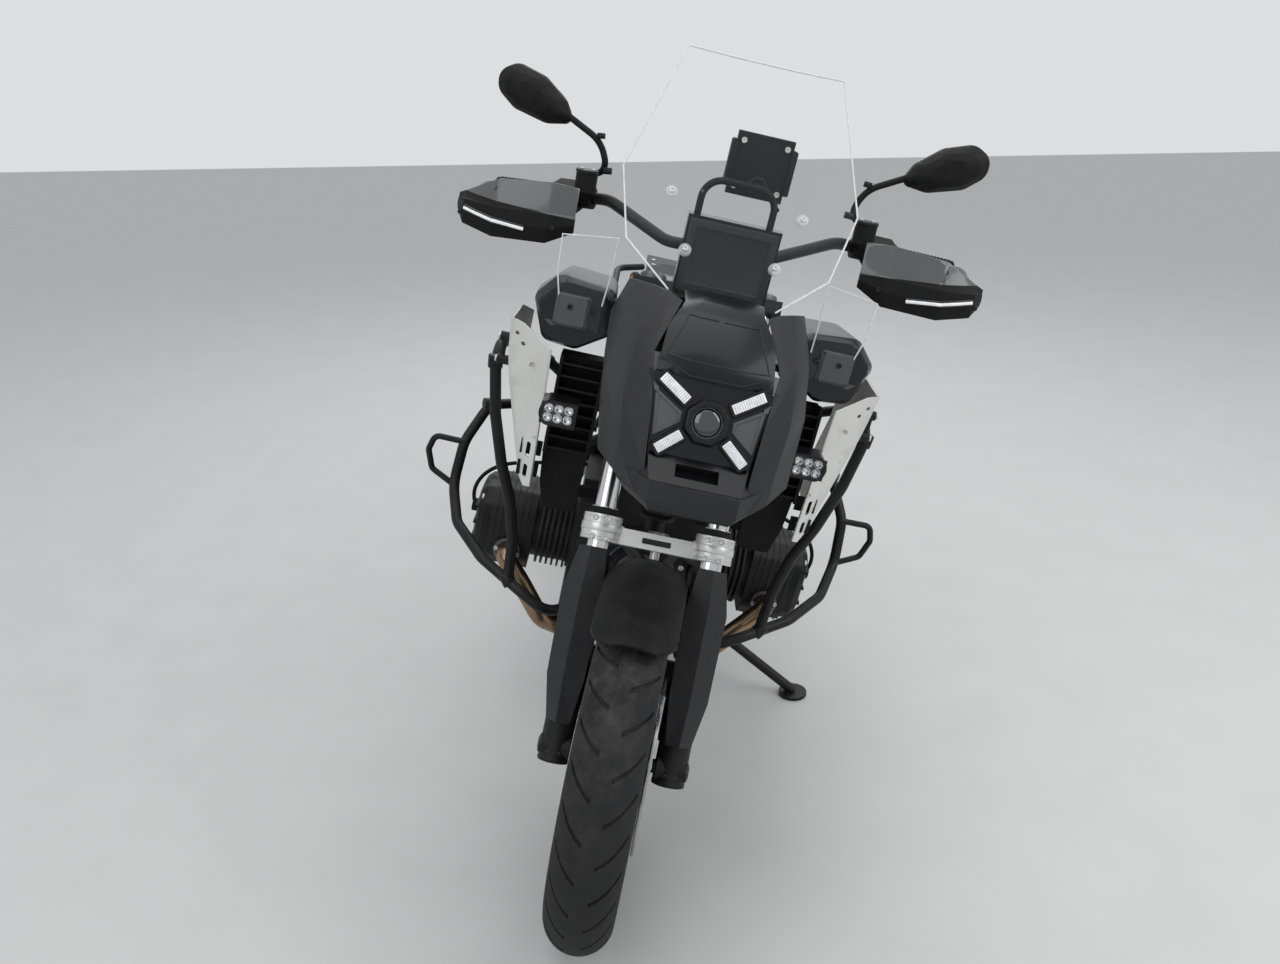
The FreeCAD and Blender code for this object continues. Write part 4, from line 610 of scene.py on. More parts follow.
lightBar = {"runs": [((0.03, 0.024), (0.08, 0.057)), ((0.03, -0.02), (0.069, -0.054))],
            "half": 0.0074, "low": 0.004, "high": 0.0082, "margin": 0.0045, "ribs": 13,
            "rib": 0.0011, "ribHigh": 0.0016}
for index, (start, end) in enumerate(lightBar["runs"]):
    first, last = onLamp(*start), onLamp(*end)
    along = (last - first).normalized()
    long = (last - first).length - 2 * lightBar["margin"]
    thick = lightBar["high"] - lightBar["low"]
    middle = (first + last) / 2 + lampOut * (lightBar["low"] + thick / 2)
    strip = newBox((long, 2 * lightBar["half"], thick), atPlace(middle, lampOut, along))
    pitch = long / (lightBar["ribs"] + 1)
    rib = newBox((lightBar["rib"], 1.8 * lightBar["half"], lightBar["ribHigh"]),
                 atPlace(middle - along * (long / 2 - pitch) + lampOut * thick / 2, lampOut, along))
    pair(soften(strip, 0.0012), "lightBar%d" % index, "ledWhite")
    pair(repeated(soften(rib, 0.0003, 1), lightBar["ribs"], (pitch, 0, 0)),
         "lightBarRibs%d" % index, "ledRib")

lens = {"ring": 0.0365, "ringTop": 0.0335, "high": 0.0155, "rim": 0.0085, "sunk": 0.006,
        "glass": 0.0215, "trim": 0.0011}
ring = newRod(lens["ring"], lens["high"], atPlace(lampMid, lampOut, (1, 0.0, 0.414)), 8,
              lens["ringTop"])
settle(soften(sunk(ring, lens["rim"], lens["sunk"]), 0.0012), "lensRing", "lampShell", smooth=25.0)
settle(newDome(lens["glass"], (1, 1, 0.3), atPlace(onLamp(0, 0, 0.0088), lampOut)), "lampLens",
       "darkLens")
settle(newRing(lens["glass"] + 0.0008, lens["trim"], atPlace(onLamp(0, 0, 0.0098), lampOut)),
       "lensTrim", "castGrey")
corner = {"outline": [(0.038, 0.009), (0.083, 0.037), (0.0755, -0.034), (0.038, -0.006)],
          "low": -0.002, "high": 0.0035, "rim": 0.004, "sunk": 0.001}
infill = newPlate([onLamp(*spot, corner["low"]) for spot in corner["outline"]],
                  lampOut * (corner["high"] - corner["low"]))
sunk(soften(infill, 0.0012), corner["rim"], corner["sunk"],
     lambda centre, normal: normal.dot(lampOut) > 0.95)
pair(infill, "lampCorners", "mattGrey")
print("headlamp done")

# Auxiliary lamps: six small reflectors in each well, their lights, a clear cover and its rim.
aux = {"columns": (0.2048, 0.2222, 0.2396), "rows": (0.8574, 0.8746), "radius": 0.0083,
       "front": 0.1868, "chip": (0.0042, 0.0042, 0.0016), "chipBack": 0.0058,
       "cover": (0.0545, 0.0352, 0.0016), "coverAt": (0.2235, 0.1848, 0.866),
       "rim": (0.0585, 0.0395, 0.004), "rimAt": (0.2235, 0.1838, 0.866), "rimWide": 0.0028}
bowl = newDome(aux["radius"], (1, 1, 0.8), atPlace(way=-ahead), 24, 12)
spots = [Vector((column, aux["front"], row)) for column in aux["columns"] for row in aux["rows"]]
pair(copied(bowl, [Matrix.Translation(spot) for spot in spots]), "auxReflectors", "reflector")
chip = soften(newBox(aux["chip"], atPlace(way=ahead)), 0.0005, 1)
pair(copied(chip, [Matrix.Translation(spot - ahead * aux["chipBack"]) for spot in spots]),
     "auxLights", "ledWhite")
pair(soften(newBox(aux["cover"], atPlace(aux["coverAt"], ahead)), 0.0007, 1), "auxCovers",
     "lensSheet")
auxRim = hollowed(newBox(aux["rim"], atPlace(aux["rimAt"], ahead)), aux["rimWide"])
pair(soften(auxRim, 0.0009, 1), "auxRims", "blackMetal")
print("auxiliary lamps done")

# Windscreen: clear round bosses with a screw, and the cut edges of the sheets, which glow as a
# painted highlight.
screen = {"bosses": [(0.112, 0.262, 1.262), (0.074, 0.168, 1.188)], "radius": 0.011,
          "bossTop": 0.0095, "bossHigh": 0.007, "edge": 0.0016, "deflectorEdge": 0.0014,
          "right": [(0.088, 0.13, 1.1285), (0.17, 0.192, 1.1845), (0.1985, 0.252, 1.288),
                    (0.133, 0.3513, 1.4888)],
          "top": [(0.05, 0.351, 1.487), (-0.05, 0.351, 1.487)],
          "deflector": [(0.256, 0.2595, 1.03), (0.262, 0.2595, 1.05), (0.272, 0.252, 1.096),
                        (0.2755, 0.2635, 1.1555), (0.181, 0.242, 1.1715), (0.1825, 0.238, 1.1),
                        (0.1865, 0.2595, 1.05)]}
glassWay = Vector((0, -0.853, 0.521))
for index, spot in enumerate(screen["bosses"]):
    boss = newRod(screen["radius"], screen["bossHigh"], atPlace(spot, glassWay), 32,
                  screen["bossTop"])
    pair(soften(boss, 0.001), "screenBoss%d" % index, "clearBoss")
    screws("screenScrew%d" % index, [(Vector(spot) + glassWay * 0.0072, glassWay)], 0.75)
screenEdge = (screen["right"] + screen["top"]
              + [(-x, y, z) for x, y, z in reversed(screen["right"])])
# The edge pipes glow though they are no lamp: a painted highlight on the sheets' cut edges.
settle(newPipe(screenEdge, screen["edge"], smooth=False), "screenEdge", "brightEdge")
pair(newPipe(screen["deflector"], screen["deflectorEdge"], smooth=False), "deflectorEdges",
     "brightEdge")
screws("deflectorScrews", [((0.2, 0.2555, 1.035), ahead), ((0.24, 0.2555, 1.038), ahead)], 0.8,
       "blackMetal")
print("screen done")

# Display: a bezel round a dark glass that faces the rider, and a sunk back plate.
display = {"size": (0.15, 0.123, 0.004), "at": (0, 0.2442, 1.1775), "rim": 0.006, "sunk": 0.0018,
           "glass": (0.136, 0.109, 0.0012), "glassAt": (0, 0.2452, 1.1775),
           "back": (0.148, 0.118, 0.005), "backAt": (0, 0.2045, 1.178), "backRim": 0.014}
bezel = sunk(newBox(display["size"], atPlace(display["at"], -ahead)), display["rim"],
             display["sunk"])
settle(soften(bezel, 0.0008, 1), "displayBezel", "mattBlack")
settle(newBox(display["glass"], atPlace(display["glassAt"], -ahead)), "displayGlass",
       "displayGloss")
backPlate = sunk(newBox(display["back"], atPlace(display["backAt"], ahead)), display["backRim"],
                 0.0025)
settle(soften(backPlate, 0.0014), "displayBack", "greyPlastic")

# Device holder: two clamping arms, a round knob and the bolts of its plate.
holder = {"arms": [(-0.026, 0.2985, 1.329), (0.076, 0.2985, 1.329)], "arm": (0.01, 0.03, 0.074),
          "knob": 0.015, "knobHigh": 0.012, "knobAt": (0.025, 0.278, 1.3005)}
arms = [soften(newBox(holder["arm"], atPlace(spot)), 0.003) for spot in holder["arms"]]
settle(joined(arms), "holderArms", "mattBlack")
knob = newRod(holder["knob"], holder["knobHigh"], atPlace(holder["knobAt"], ahead), 24)
settle(soften(sunk(knob, 0.004, 0.003), 0.001), "holderKnob", "blackMetal")
screws("holderBolts", [((x, 0.2895, z), ahead) for x in (-0.012, 0.062) for z in (1.292, 1.366)],
       0.8, both=False)
print("cockpit done")


# A place on the fork's middle line, given its height.
def onAxis(height, reach=0.0):
    return steerFoot + steerAxis * ((height - steerFoot.z) / steerAxis.z + reach)


# A place on the left fork leg, given its height, with offsets ahead and outwards.
def onLeg(height, ahead=0.0, out=0.0, reach=0.0):
    return onAxis(height, reach) + forkAhead * (0.04 + ahead) + left * (0.1025 + out)


# Moulded shells: merged copies of the CAD skins, with even shading across their soft faces.
def moulded(label, name, body="chassis", angle=38.0):
    skin = copyOf(nodes[label], Matrix.Identity(4))
    editAll(skin)
    bpy.ops.mesh.remove_doubles(threshold=0.00002)
    bpy.ops.mesh.normals_make_consistent(inside=False)
    leaveEdit()
    settle(skin, name, finishOfNode[label], body, angle, framed=False)
    applied(skin, "WEIGHTED_NORMAL", keep_sharp=True, weight=60)
    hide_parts(label)
    return skin


def shellAngle(label):
    return 24.0 if finishOfNode[label] == "greyPlastic" else 38.0


for label, name in (("nose_panel", "noseSkin"), ("beak", "beakSkin"),
                    ("side_fairings", "fairingSkin"), ("side_panel_left", "panelSkinLeft"),
                    ("side_panel_right", "panelSkinRight"), ("fuel_tank", "tankSkin"),
                    ("tank_wing_left", "wingSkinLeft"), ("tank_wing_right", "wingSkinRight"),
                    ("tail_unit", "tailSkin")):
    moulded(label, name, angle=shellAngle(label))
for label, name in (("mirror_left", "mirrorSkinLeft"), ("mirror_right", "mirrorSkinRight"),
                    ("fork_guards", "forkGuardSkin"), ("front_mudguard", "mudguardSkin")):
    moulded(label, name, fork, shellAngle(label))


# Points between corners, each corner pair shared out evenly.
def between(corners, share):
    return [Vector(before).lerp(Vector(after), step / share)
            for before, after in zip(corners, corners[1:]) for step in range(share)]


# Points on a skin where rays from ahead of it meet the line between the corners.
def traced(skin, corners, share=6):
    points = []
    for spot in between(corners, share):
        hit, place, normal, face = skin.ray_cast(leanFrame @ Vector((spot.x, -0.5, spot.y)),
                                                 leanFrame.to_3x3() @ -ahead)
        if hit:
            points.append(tuple(upright @ place))
    return points


# Nose panel: a bead round its field and a shallow V below it, traced on the skin; the beads are
# real ledges, and their grey, lighter than the panel, is a painted highlight along them.
noseField = [(0, 1.1215), (0.054, 1.1215), (0.0775, 1.07), (0, 1.07), (-0.0775, 1.07),
             (-0.054, 1.1215), (0, 1.1215)]
noseV = [(-0.079, 1.064), (-0.04, 1.05), (0.04, 1.05), (0.079, 1.064)]
for name, line, radius in (("noseBead", noseField, 0.0013), ("noseCrease", noseV, 0.0011)):
    settle(newPipe(traced(bpy.data.objects["noseSkin"], line), radius, smooth=False), name,
           "greyPlastic")

# Hand guards: the skin above the light bar is a smoked visor, cut in along a sloping line.
visor = {"low": 1.1775, "slope": 0.06, "near": 0.365}
for label, name, side in (("hand_guard_left", "guardSkinLeft", 1),
                          ("hand_guard_right", "guardSkinRight", -1)):
    skin = moulded(label, name, fork)
    skin.data.materials.append(finishes["smokedVisor"])
    normal = Vector((-visor["slope"] * side, 0, 1)).normalized()
    spot = Vector((visor["near"] * side, 0.39, visor["low"]))
    editAll(skin)
    bpy.ops.mesh.bisect(plane_co=steerFrame @ spot, plane_no=steerFrame.to_3x3() @ normal)
    leaveEdit()
    unsteered = steerFrame.inverted()
    for face in skin.data.polygons:
        if (unsteered @ face.center - spot).dot(normal) > 0:
            face.material_index = 1
print("shells done")

# Hand guards: a white light bar in a dark surround on each shell, and screws.
handLight = {"radius": 0.0046, "frame": 0.0068, "back": 0.0026,
             "line": [(0.352, 0.38, 1.141), (0.383, 0.3785, 1.144), (0.412, 0.378, 1.1465),
                      (0.442, 0.3885, 1.1515), (0.47, 0.4005, 1.1565)],
             "screws": [((0.3, 0.3835, 1.152), ahead), ((0.48, 0.4095, 1.146), (0.4, -0.9, 0)),
                        ((0.33, 0.4045, 1.205), (0, -0.9, 0.35)),
                        ((0.412, 0.4, 1.2), (0, -0.9, 0.35))]}
pair(newPipe(handLight["line"], handLight["radius"], smooth=False, sides=4), "handLights",
     "ledWhite", fork)
surround = [Vector(spot) - ahead * handLight["back"] for spot in handLight["line"]]
pair(newPipe(surround, handLight["frame"], smooth=False, sides=4), "handLightFrames",
     "darkGloss", fork)
screws("guardScrews", handLight["screws"], 0.75, "blackMetal", fork)

# Mirrors: a glass set in the shell, and two nuts at the stalk.
mirror = {"at": (0.378, 0.4825, 1.368), "turn": 22.0, "long": 0.071, "high": 0.032,
          "nuts": [("mirrorNuts1255", (0.2245, 0.4572, 1.255), 0.0092, 0.012),
                   ("mirrorNuts1314", (0.2465, 0.4645, 1.3145), 0.0085, 0.01)]}
pane = newRod(1.0, 0.0016, Matrix.Identity(4), 40)
pane.scale = (mirror["long"], mirror["high"], 1)
bpy.ops.object.transform_apply(scale=True)
pane.matrix_world = (Matrix.Translation(mirror["at"])
                     @ Matrix.Rotation(math.radians(-mirror["turn"]), 4, "Y")
                     @ Matrix.Rotation(math.radians(-90), 4, "X"))
pair(pane, "mirrorPanes", "mirrorGlass", body=fork)
for name, spot, radius, deep in mirror["nuts"]:
    nut = newRod(radius, deep, atPlace(spot, (0.1, 0.1, 1)), 6)
    pair(soften(nut, 0.001, 1), name, "blackMetal", fork)
print("guards and mirrors done")

# Fork: rings and a band on the collars, dust seals, bright rings, bridge screws, top caps.
collar = {"foot": 0.64, "radius": 0.0352, "grooves": (0.006, 0.04), "wire": 0.0009,
          "band": 0.0365, "bandHigh": 0.014, "seal": 0.0285, "sealTop": 0.0262, "sealHigh": 0.012}


def onCollar(reach, **offsets):
    return onLeg(collar["foot"], reach=reach, **offsets)


grooves = [newRing(collar["radius"], collar["wire"], atPlace(onCollar(at), steerAxis))
           for at in collar["grooves"]]
pair(joined(grooves), "collarGrooves", "silver", body=fork, smooth=80.0)
band = hollowed(newRod(collar["band"], collar["bandHigh"], atPlace(onCollar(0.016), steerAxis),
                       48), 0.004)
pair(soften(band, 0.0012), "collarBands", "silver", body=fork)
seal = hollowed(newRod(collar["seal"], collar["sealHigh"], atPlace(onCollar(0.0462), steerAxis),
                       40, collar["sealTop"]), 0.0045)
pair(soften(seal, 0.001), "dustSeals", "gripRubber", body=fork)
pair(newRing(0.0238, 0.0014, atPlace(onCollar(0.0592), steerAxis)), "sealRings",
     "chromeTube", body=fork)
pinch = [(onCollar(at, ahead=0.0345, out=side * 0.012), forkAhead)
         for side in (1, -1) for at in (0.005, 0.0385)]
inBridge = [(onCollar(0.03, ahead=at, out=-0.033), steerAxis) for at in (-0.02, -0.05)]
screws("bridgeScrews", pinch + inBridge, 0.9, body=fork)
bridge = {"nut": 0.021, "nutTop": 0.019, "nutHigh": 0.006, "slot": (0.052, 0.0035, 0.01),
          "cap": 0.0245, "capHigh": 0.012, "capAt": 1.05}
bridgeNut = sunk(newRod(bridge["nut"], bridge["nutHigh"],
                        atPlace(onAxis(collar["foot"], 0.03), steerAxis), 40, bridge["nutTop"]),
                 0.004, 0.0025)
settle(soften(bridgeNut, 0.0008, 1), "bridgeNut", "castGrey", fork)
# A near-black box along the bridge's slot: painted shade where the gap falls dark.
bridgeSlot = newBox(bridge["slot"],
                    atPlace(onCollar(0.015, ahead=0.0025, out=-0.1025), steerAxis))
settle(soften(bridgeSlot, 0.0012), "bridgeSlot", "paintedSlotShade", fork)
forkCap = newRod(bridge["cap"], bridge["capHigh"],
                 atPlace(onLeg(bridge["capAt"], reach=0.026), steerAxis), 32)
pair(soften(sunk(forkCap, 0.008, 0.005), 0.001), "forkCaps", "castGrey", fork)

# Fork bottoms: the axle nut, its pinch screws and a foot cap.
bottom = {"nut": 0.019, "nutHigh": 0.008, "nutOut": 0.1245, "screwsOut": (0.094, 0.112),
          "screwsAhead": 0.0235, "cap": 0.0296, "capHigh": 0.01, "capAt": 0.285}
axleNut = newRod(bottom["nut"], bottom["nutHigh"],
                 atPlace(frontAxle + left * bottom["nutOut"], left), 6)
pair(sunk(soften(axleNut, 0.0014), 0.007, 0.005), "axleNuts", "castDark", fork)
screws("lugScrews", [(frontAxle + Vector((out, -bottom["screwsAhead"], 0)), ahead)
                     for out in bottom["screwsOut"]], 0.8, "castDark", fork)
footCap = newRod(bottom["cap"], bottom["capHigh"],
                 atPlace(onLeg(bottom["capAt"], reach=-0.001), steerAxis), 40)
pair(soften(footCap, 0.003), "footCaps", "blackMetal", body=fork)

# Brake pipes behind the legs, their clips and their bolts.
brakePipe = {"radius": 0.0033, "start": (0.084, 0.142, 0.452), "leg": [
    (0.48, -0.036, 0), (0.545, -0.037, 0), (0.61, -0.037, -0.004), (0.68, -0.041, -0.01),
    (0.76, -0.03, -0.01), (0.9, -0.026, -0.02)], "clips": (0.52, 0.585)}
pair(newPipe([brakePipe["start"]] + [onLeg(*spot) for spot in brakePipe["leg"]],
             brakePipe["radius"]), "brakePipes", "gripRubber", body=fork)
clips = [newRing(0.0305, 0.0022, atPlace(onLeg(height), steerAxis), 40)
         for height in brakePipe["clips"]]
for clip in clips:
    clip.scale = (1, 1, 2.2)
pair(joined(clips), "legClips", "mattBlack", fork)
screws("banjoBolts", [((0.084, 0.146, 0.449), (0, 0.6, 0.8))], 1.3, body=fork)
print("fork done")

# Callipers: outer covers, piston caps and screws.
calliper = {"cover": (0.062, 0.118, 0.006), "cap": 0.0145, "capHigh": 0.004}
calliperPlace = (Matrix.Translation(frontAxle + Vector((0.07, 0.118, 0.062)))
                 @ Matrix.Rotation(math.radians(-28), 4, "X"))
cover = newBox(calliper["cover"], calliperPlace @ atPlace((0.0285, 0.004, 0), left, -ahead))
pair(soften(sunk(cover, 0.007, -0.003), 0.002), "calliperCovers", "castDark", body=fork)
caps = [sunk(newRod(calliper["cap"], calliper["capHigh"],
                    calliperPlace @ atPlace((0.034, 0.004, at), left), 28), 0.004, 0.0015)
        for at in (-0.028, 0.028)]
pair(joined(caps), "pistonCaps", "castGrey", body=fork)
screws("calliperScrews",
       [(calliperPlace @ Vector((0.03, 0.0, at)), left) for at in (-0.062, 0.062)], body=fork)
print("callipers done")


# A place on a circle in the plane of the wheels.
def onCircle(centre, radius, degrees):
    turn = math.radians(degrees)
    return Vector(centre) + radius * Vector((0, math.cos(turn), math.sin(turn)))


# Mudguard: a raised middle rib and the screws of its ears.
mudguard = {"radius": 0.327, "turns": range(66, 118, 6), "rib": 0.003, "earAcross": 0.0655,
            "earHigh": 0.575}
ribLine = [onCircle(frontAxle, mudguard["radius"], 180 - at) for at in mudguard["turns"]]
settle(newPipe(ribLine, mudguard["rib"]), "mudguardRib", "mattBlack", body=fork)
screws("earScrews", [((mudguard["earAcross"], *onLeg(mudguard["earHigh"]).yz), -left)], 0.8,
       body=fork)

# Controls: bar clamps with screws, switch keys, reservoir lids and grip ribs.
barMid = onAxis(1.15) + forkAhead * 0.022
barOut = Vector((0.215, barMid.y + 0.042, barMid.z + 0.048))
barEnd = Vector((0.44, barMid.y + 0.098, barMid.z + 0.03))
barWay = (barEnd - barOut).normalized()
clamp = {"size": (0.034, 0.04, 0.03), "across": (-0.042, 0.042), "screws": (-0.013, 0.013)}
clamps = [soften(newBox(clamp["size"], atPlace(barMid + left * at + steerAxis * 0.006, steerAxis)),
                 0.006, 3) for at in clamp["across"]]
settle(joined(clamps), "barClamps", "silver", body=fork)
screws("clampScrews", [(barMid + left * at + steerAxis * 0.021 + forkAhead * turn, steerAxis)
                       for at in clamp["across"] for turn in clamp["screws"]], 0.8, "blackMetal",
       body=fork, both=False)
grip = {"radius": 0.0173, "ribs": 14, "wire": 0.0011, "long": 0.1}
gripRib = newRing(grip["radius"], grip["wire"], atPlace(barEnd - barWay * 0.006, -barWay), 32, 6)
pair(repeated(gripRib, grip["ribs"], (0, 0, grip["long"] / grip["ribs"])), "gripRibs",
     "gripRubber", body=fork)
key = {"size": (0.014, 0.012, 0.006), "across": (-0.012, 0.01), "up": (0.012, -0.008)}
keys = [soften(newBox(key["size"], atPlace(
    barEnd - barWay * 0.149 + barWay * across + Vector((0, 0.0265, rise)), -ahead)), 0.0018)
    for rise in key["up"] for across in key["across"]]
pair(joined(keys), "switchKeys", "greyPlastic", fork)
lidAt = barEnd - barWay * 0.187 + Vector((0, -0.046, 0.0482))
pair(soften(newRod(0.0212, 0.007, atPlace(lidAt), 32), 0.0016), "reservoirLids",
     "blackMetal", body=fork)
screws("lidScrews", [(lidAt + Vector((at, 0, 0.0068)), up) for at in (-0.011, 0.011)], 0.6,
       body=fork)
print("controls done")

# Tyres: a section drawn by extruding a vertex is spun about the axle, its columns are turned
# into a curved sweep, and the grooves are rows of faces pushed in.
tyres = {
    "front_tyre": {"name": "frontTread", "body": "front_wheel", "centre": frontAxle,
                   "radius": 0.325, "crown": 0.06, "bead": 0.25, "lip": 0.0357, "half": 12,
                   "steps": 240, "every": 8, "sweep": 13.0, "grooved": (2, 10), "deep": 0.0045},
    "rear_tyre": {"name": "rearTread", "body": "rear_wheel", "centre": rearAxle,
                  "radius": 0.318, "crown": 0.085, "bead": 0.225, "lip": 0.0597, "half": 14,
                  "steps": 232, "every": 8, "sweep": 14.0, "grooved": (3, 11), "deep": 0.0055},
}


def tyreSection(kind):
    half, crown, bead, lip = kind["half"], kind["crown"], kind["bead"], kind["lip"]
    reach = math.asin(0.97)
    arc = [(crown * math.sin(reach * index / half),
            kind["radius"] - crown + crown * math.cos(reach * index / half))
           for index in range(-half, half + 1)]
    wide, low = arc[-1]
    drop = low - bead
    wall = [(wide + 0.0004, low - 0.18 * drop), (wide - 0.0022, low - 0.24 * drop),
            (wide - 0.0062, low - 0.5 * drop), (wide - 0.0046, low - 0.56 * drop),
            (lip + 0.0075, bead + 0.008), (lip + 0.001, bead + 0.004), (lip, bead - 0.0005)]
    return [(-side, far) for side, far in reversed(wall)] + arc + wall


for label, kind in tyres.items():
    centre, half = kind["centre"], kind["half"]
    section = tyreSection(kind)
    tyre = newLine([centre + Vector((side, 0, far)) for side, far in section])
    solo(tyre)
    bpy.ops.object.transform_apply(location=True)
    editAll(tyre)
    bpy.ops.mesh.spin(steps=kind["steps"], angle=2 * math.pi, center=centre, axis=(1, 0, 0))
    bpy.ops.mesh.select_all(action="SELECT")
    bpy.ops.mesh.remove_doubles(threshold=0.00002)
    bpy.ops.mesh.normals_make_consistent(inside=False)
    leaveEdit()
    columns = [min(range(len(section)), key=lambda at: (section[at][0] - spot.co.x) ** 2
                   + (section[at][1] - math.hypot(spot.co.y - centre.y,
                                                  spot.co.z - centre.z)) ** 2)
               - len(section) // 2 for spot in tyre.data.vertices]
    step = 2 * math.pi / kind["steps"]
    grooved = []
    for face in tyre.data.polygons:
        own = [columns[vertex] for vertex in face.vertices]
        row = int((math.atan2(face.center.z - centre.z, face.center.y - centre.y)
                   % (2 * math.pi)) / step)
        near, far = sorted((abs(min(own)), abs(max(own))))
        shifted = row + (kind["every"] // 2 if max(own) > 0 else 0)
        inside = kind["grooved"][0] <= near and far <= kind["grooved"][1]
        grooved.append(inside and shifted % kind["every"] == 0)
    for column in range(1, half + 1):
        pickListed(tyre, "VERT", [abs(own) == column or (column == half and abs(own) > half)
                                  for own in columns])
        bpy.ops.transform.rotate(value=math.radians(kind["sweep"] * (column / half) ** 1.5),
                                 orient_axis="X", orient_type="GLOBAL", center_override=centre)
        leaveEdit()
    pickListed(tyre, "FACE", grooved)
    pushIn(kind["deep"])
    settle(tyre, kind["name"], "tyreRubber", body=kind["body"], smooth=32.0)
    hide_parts(label)
print("tyres done")

# Brake discs: drilled rings on dark carriers with windows, joined by bobbins.
discs = {
    "front_discs": {"name": "front", "body": "front_wheel", "centre": frontAxle, "at": 0.062,
                    "radius": 0.155, "inner": 0.121, "hub": 0.024, "seat": 0.052, "windows": 6},
    "rear_disc": {"name": "rear", "body": "rear_wheel", "centre": rearAxle, "at": 0.066,
                  "radius": 0.138, "inner": 0.104, "hub": 0.038, "seat": 0.06, "windows": 5},
}
drills = {"radius": 0.0031, "long": 0.012, "holes": [(0.0075, 0.0), (0.0145, 0.1),
                                                    (0.0215, 0.2), (0.028, 0.05)]}
for label, kind in discs.items():
    inner, hub = kind["inner"], kind["hub"]

    # A frame beside the wheel's middle, some way up from the axle.
    def onDisc(offset, rise=0.0, side=left):
        return atPlace(kind["centre"] + left * offset + up * rise, left, side)

    ring = newWasher(kind["radius"] - 0.0002, inner, 0.0046, onDisc(kind["at"] + 0.0002))
    drill = [newRod(drills["radius"], drills["long"], atPlace(
        onCircle(kind["centre"] + left * (kind["at"] - 0.004), inner + far, math.degrees(turn)),
        left), 10) for far, turn in drills["holes"]]
    cutBy(ring, around(joined(drill), 20, kind["centre"], left))
    carrier = newWasher(inner + 0.001, hub + 0.0005, 0.004, onDisc(kind["at"] + 0.0004))
    windowDeep = inner - hub - 0.04
    window = newBox((windowDeep, 0.03, 0.02), onDisc(kind["at"], hub + 0.026 + windowDeep / 2, up))
    pickFaces(window, lambda centre, normal: normal.x > 0.9)
    bpy.ops.transform.resize(value=(1, 1.7, 1), orient_type="GLOBAL")
    leaveEdit()
    cutBy(carrier, around(window, kind["windows"], kind["centre"], left))
    collarRing = newWasher(hub + 0.014, hub + 0.0005, kind["at"] - kind["seat"] + 0.003,
                           onDisc(kind["seat"]), 48)
    bobbin = sunk(newRod(0.0075, 0.0062, onDisc(kind["at"] - 0.0006, inner + 0.0005), 20), 0.003,
                  0.0012)
    bobbins = around(bobbin, 10, kind["centre"], left, 18.0)
    hubBolt = boltsAt([(kind["centre"] + Vector((kind["at"] + 0.0042, 0, hub + 0.007)), left)], 0.8)
    pieces = [("Disc", soften(ring, 0.0004, 1), "discSteel"),
              ("Carrier", joined([carrier, collarRing]), "blackMetal"),
              ("Bobbins", bobbins, "silver"),
              ("HubBolts", around(hubBolt, 6, kind["centre"], left), "silver")]
    for suffix, piece, finish in pieces:
        if label == "front_discs":
            piece = twoSided(piece)
        settle(piece, kind["name"] + suffix, finish, kind["body"], 30.0)
        if suffix == "Disc":
            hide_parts(label)

# Wheels: valve stems, rim edge lines, the rear hub's cap and bolts.
wheel = {"valve": 0.0042, "valveLong": 0.024, "line": 0.0011, "lineRise": 0.0068,
         "lineInset": 0.0012, "cap": 0.03, "capHigh": 0.006, "capOut": 0.0655, "bolts": 5,
         "boltRing": 0.04, "boltOut": 0.0602}
for name, body, centre, bead, wide in (("front", "front_wheel", frontAxle, 0.241, 0.042),
                                       ("rear", "rear_wheel", rearAxle, 0.216, 0.066)):
    valve = newRod(wheel["valve"], wheel["valveLong"],
                   atPlace(centre + Vector((0.004, 0, 0.016 - bead)), (0.5, 0, 1)), 16)
    settle(soften(valve, 0.0008, 1), name + "Valve", "silver", body)
    line = newRing(bead + wheel["lineRise"], wheel["line"],
                   atPlace(centre + left * (wide - wheel["lineInset"]), left), 128, 6)
    pair(line, name + "RimLines", "castGrey", body)
hubCap = newRod(wheel["cap"], wheel["capHigh"], atPlace(rearAxle - left * wheel["capOut"], -left),
                40)
settle(soften(hubCap, 0.002), "rearHubCap", "silver", "rear_wheel")
wheelBolt = boltsAt([(rearAxle + Vector((-wheel["boltOut"], 0, wheel["boltRing"])), -left)], 1.6)
settle(around(wheelBolt, wheel["bolts"], rearAxle, left), "rearWheelBolts", "silver",
       "rear_wheel")
print("wheels done")

# Radiators: fine fins in front of each core, hose stubs and their clips.
fins = {"size": (0.0008, 0.004, 0.168), "count": 24, "pitch": 0.0031, "at": (0.1625, 0.2965, 0.852),
        "hose": [(0.198, 0.33, 0.7), (0.192, 0.352, 0.676), (0.172, 0.372, 0.655),
                 (0.13, 0.42, 0.64), (0.1, 0.452, 0.622)], "hoseRadius": 0.013,
        "clip": 0.0142, "clipWire": 0.0022, "clipAt": (0.1955, 0.341, 0.689),
        "clipWay": (-0.25, 0.75, -0.6)}
fin = repeated(newBox(fins["size"], atPlace(fins["at"])), fins["count"], (fins["pitch"], 0, 0))
pair(fin, "radiatorFins", "castDark", smooth=0)
pair(newPipe(fins["hose"], fins["hoseRadius"]), "radiatorHoses", "gripRubber")
pair(newRing(fins["clip"], fins["clipWire"], atPlace(fins["clipAt"], fins["clipWay"])),
     "hoseClips", "silver")

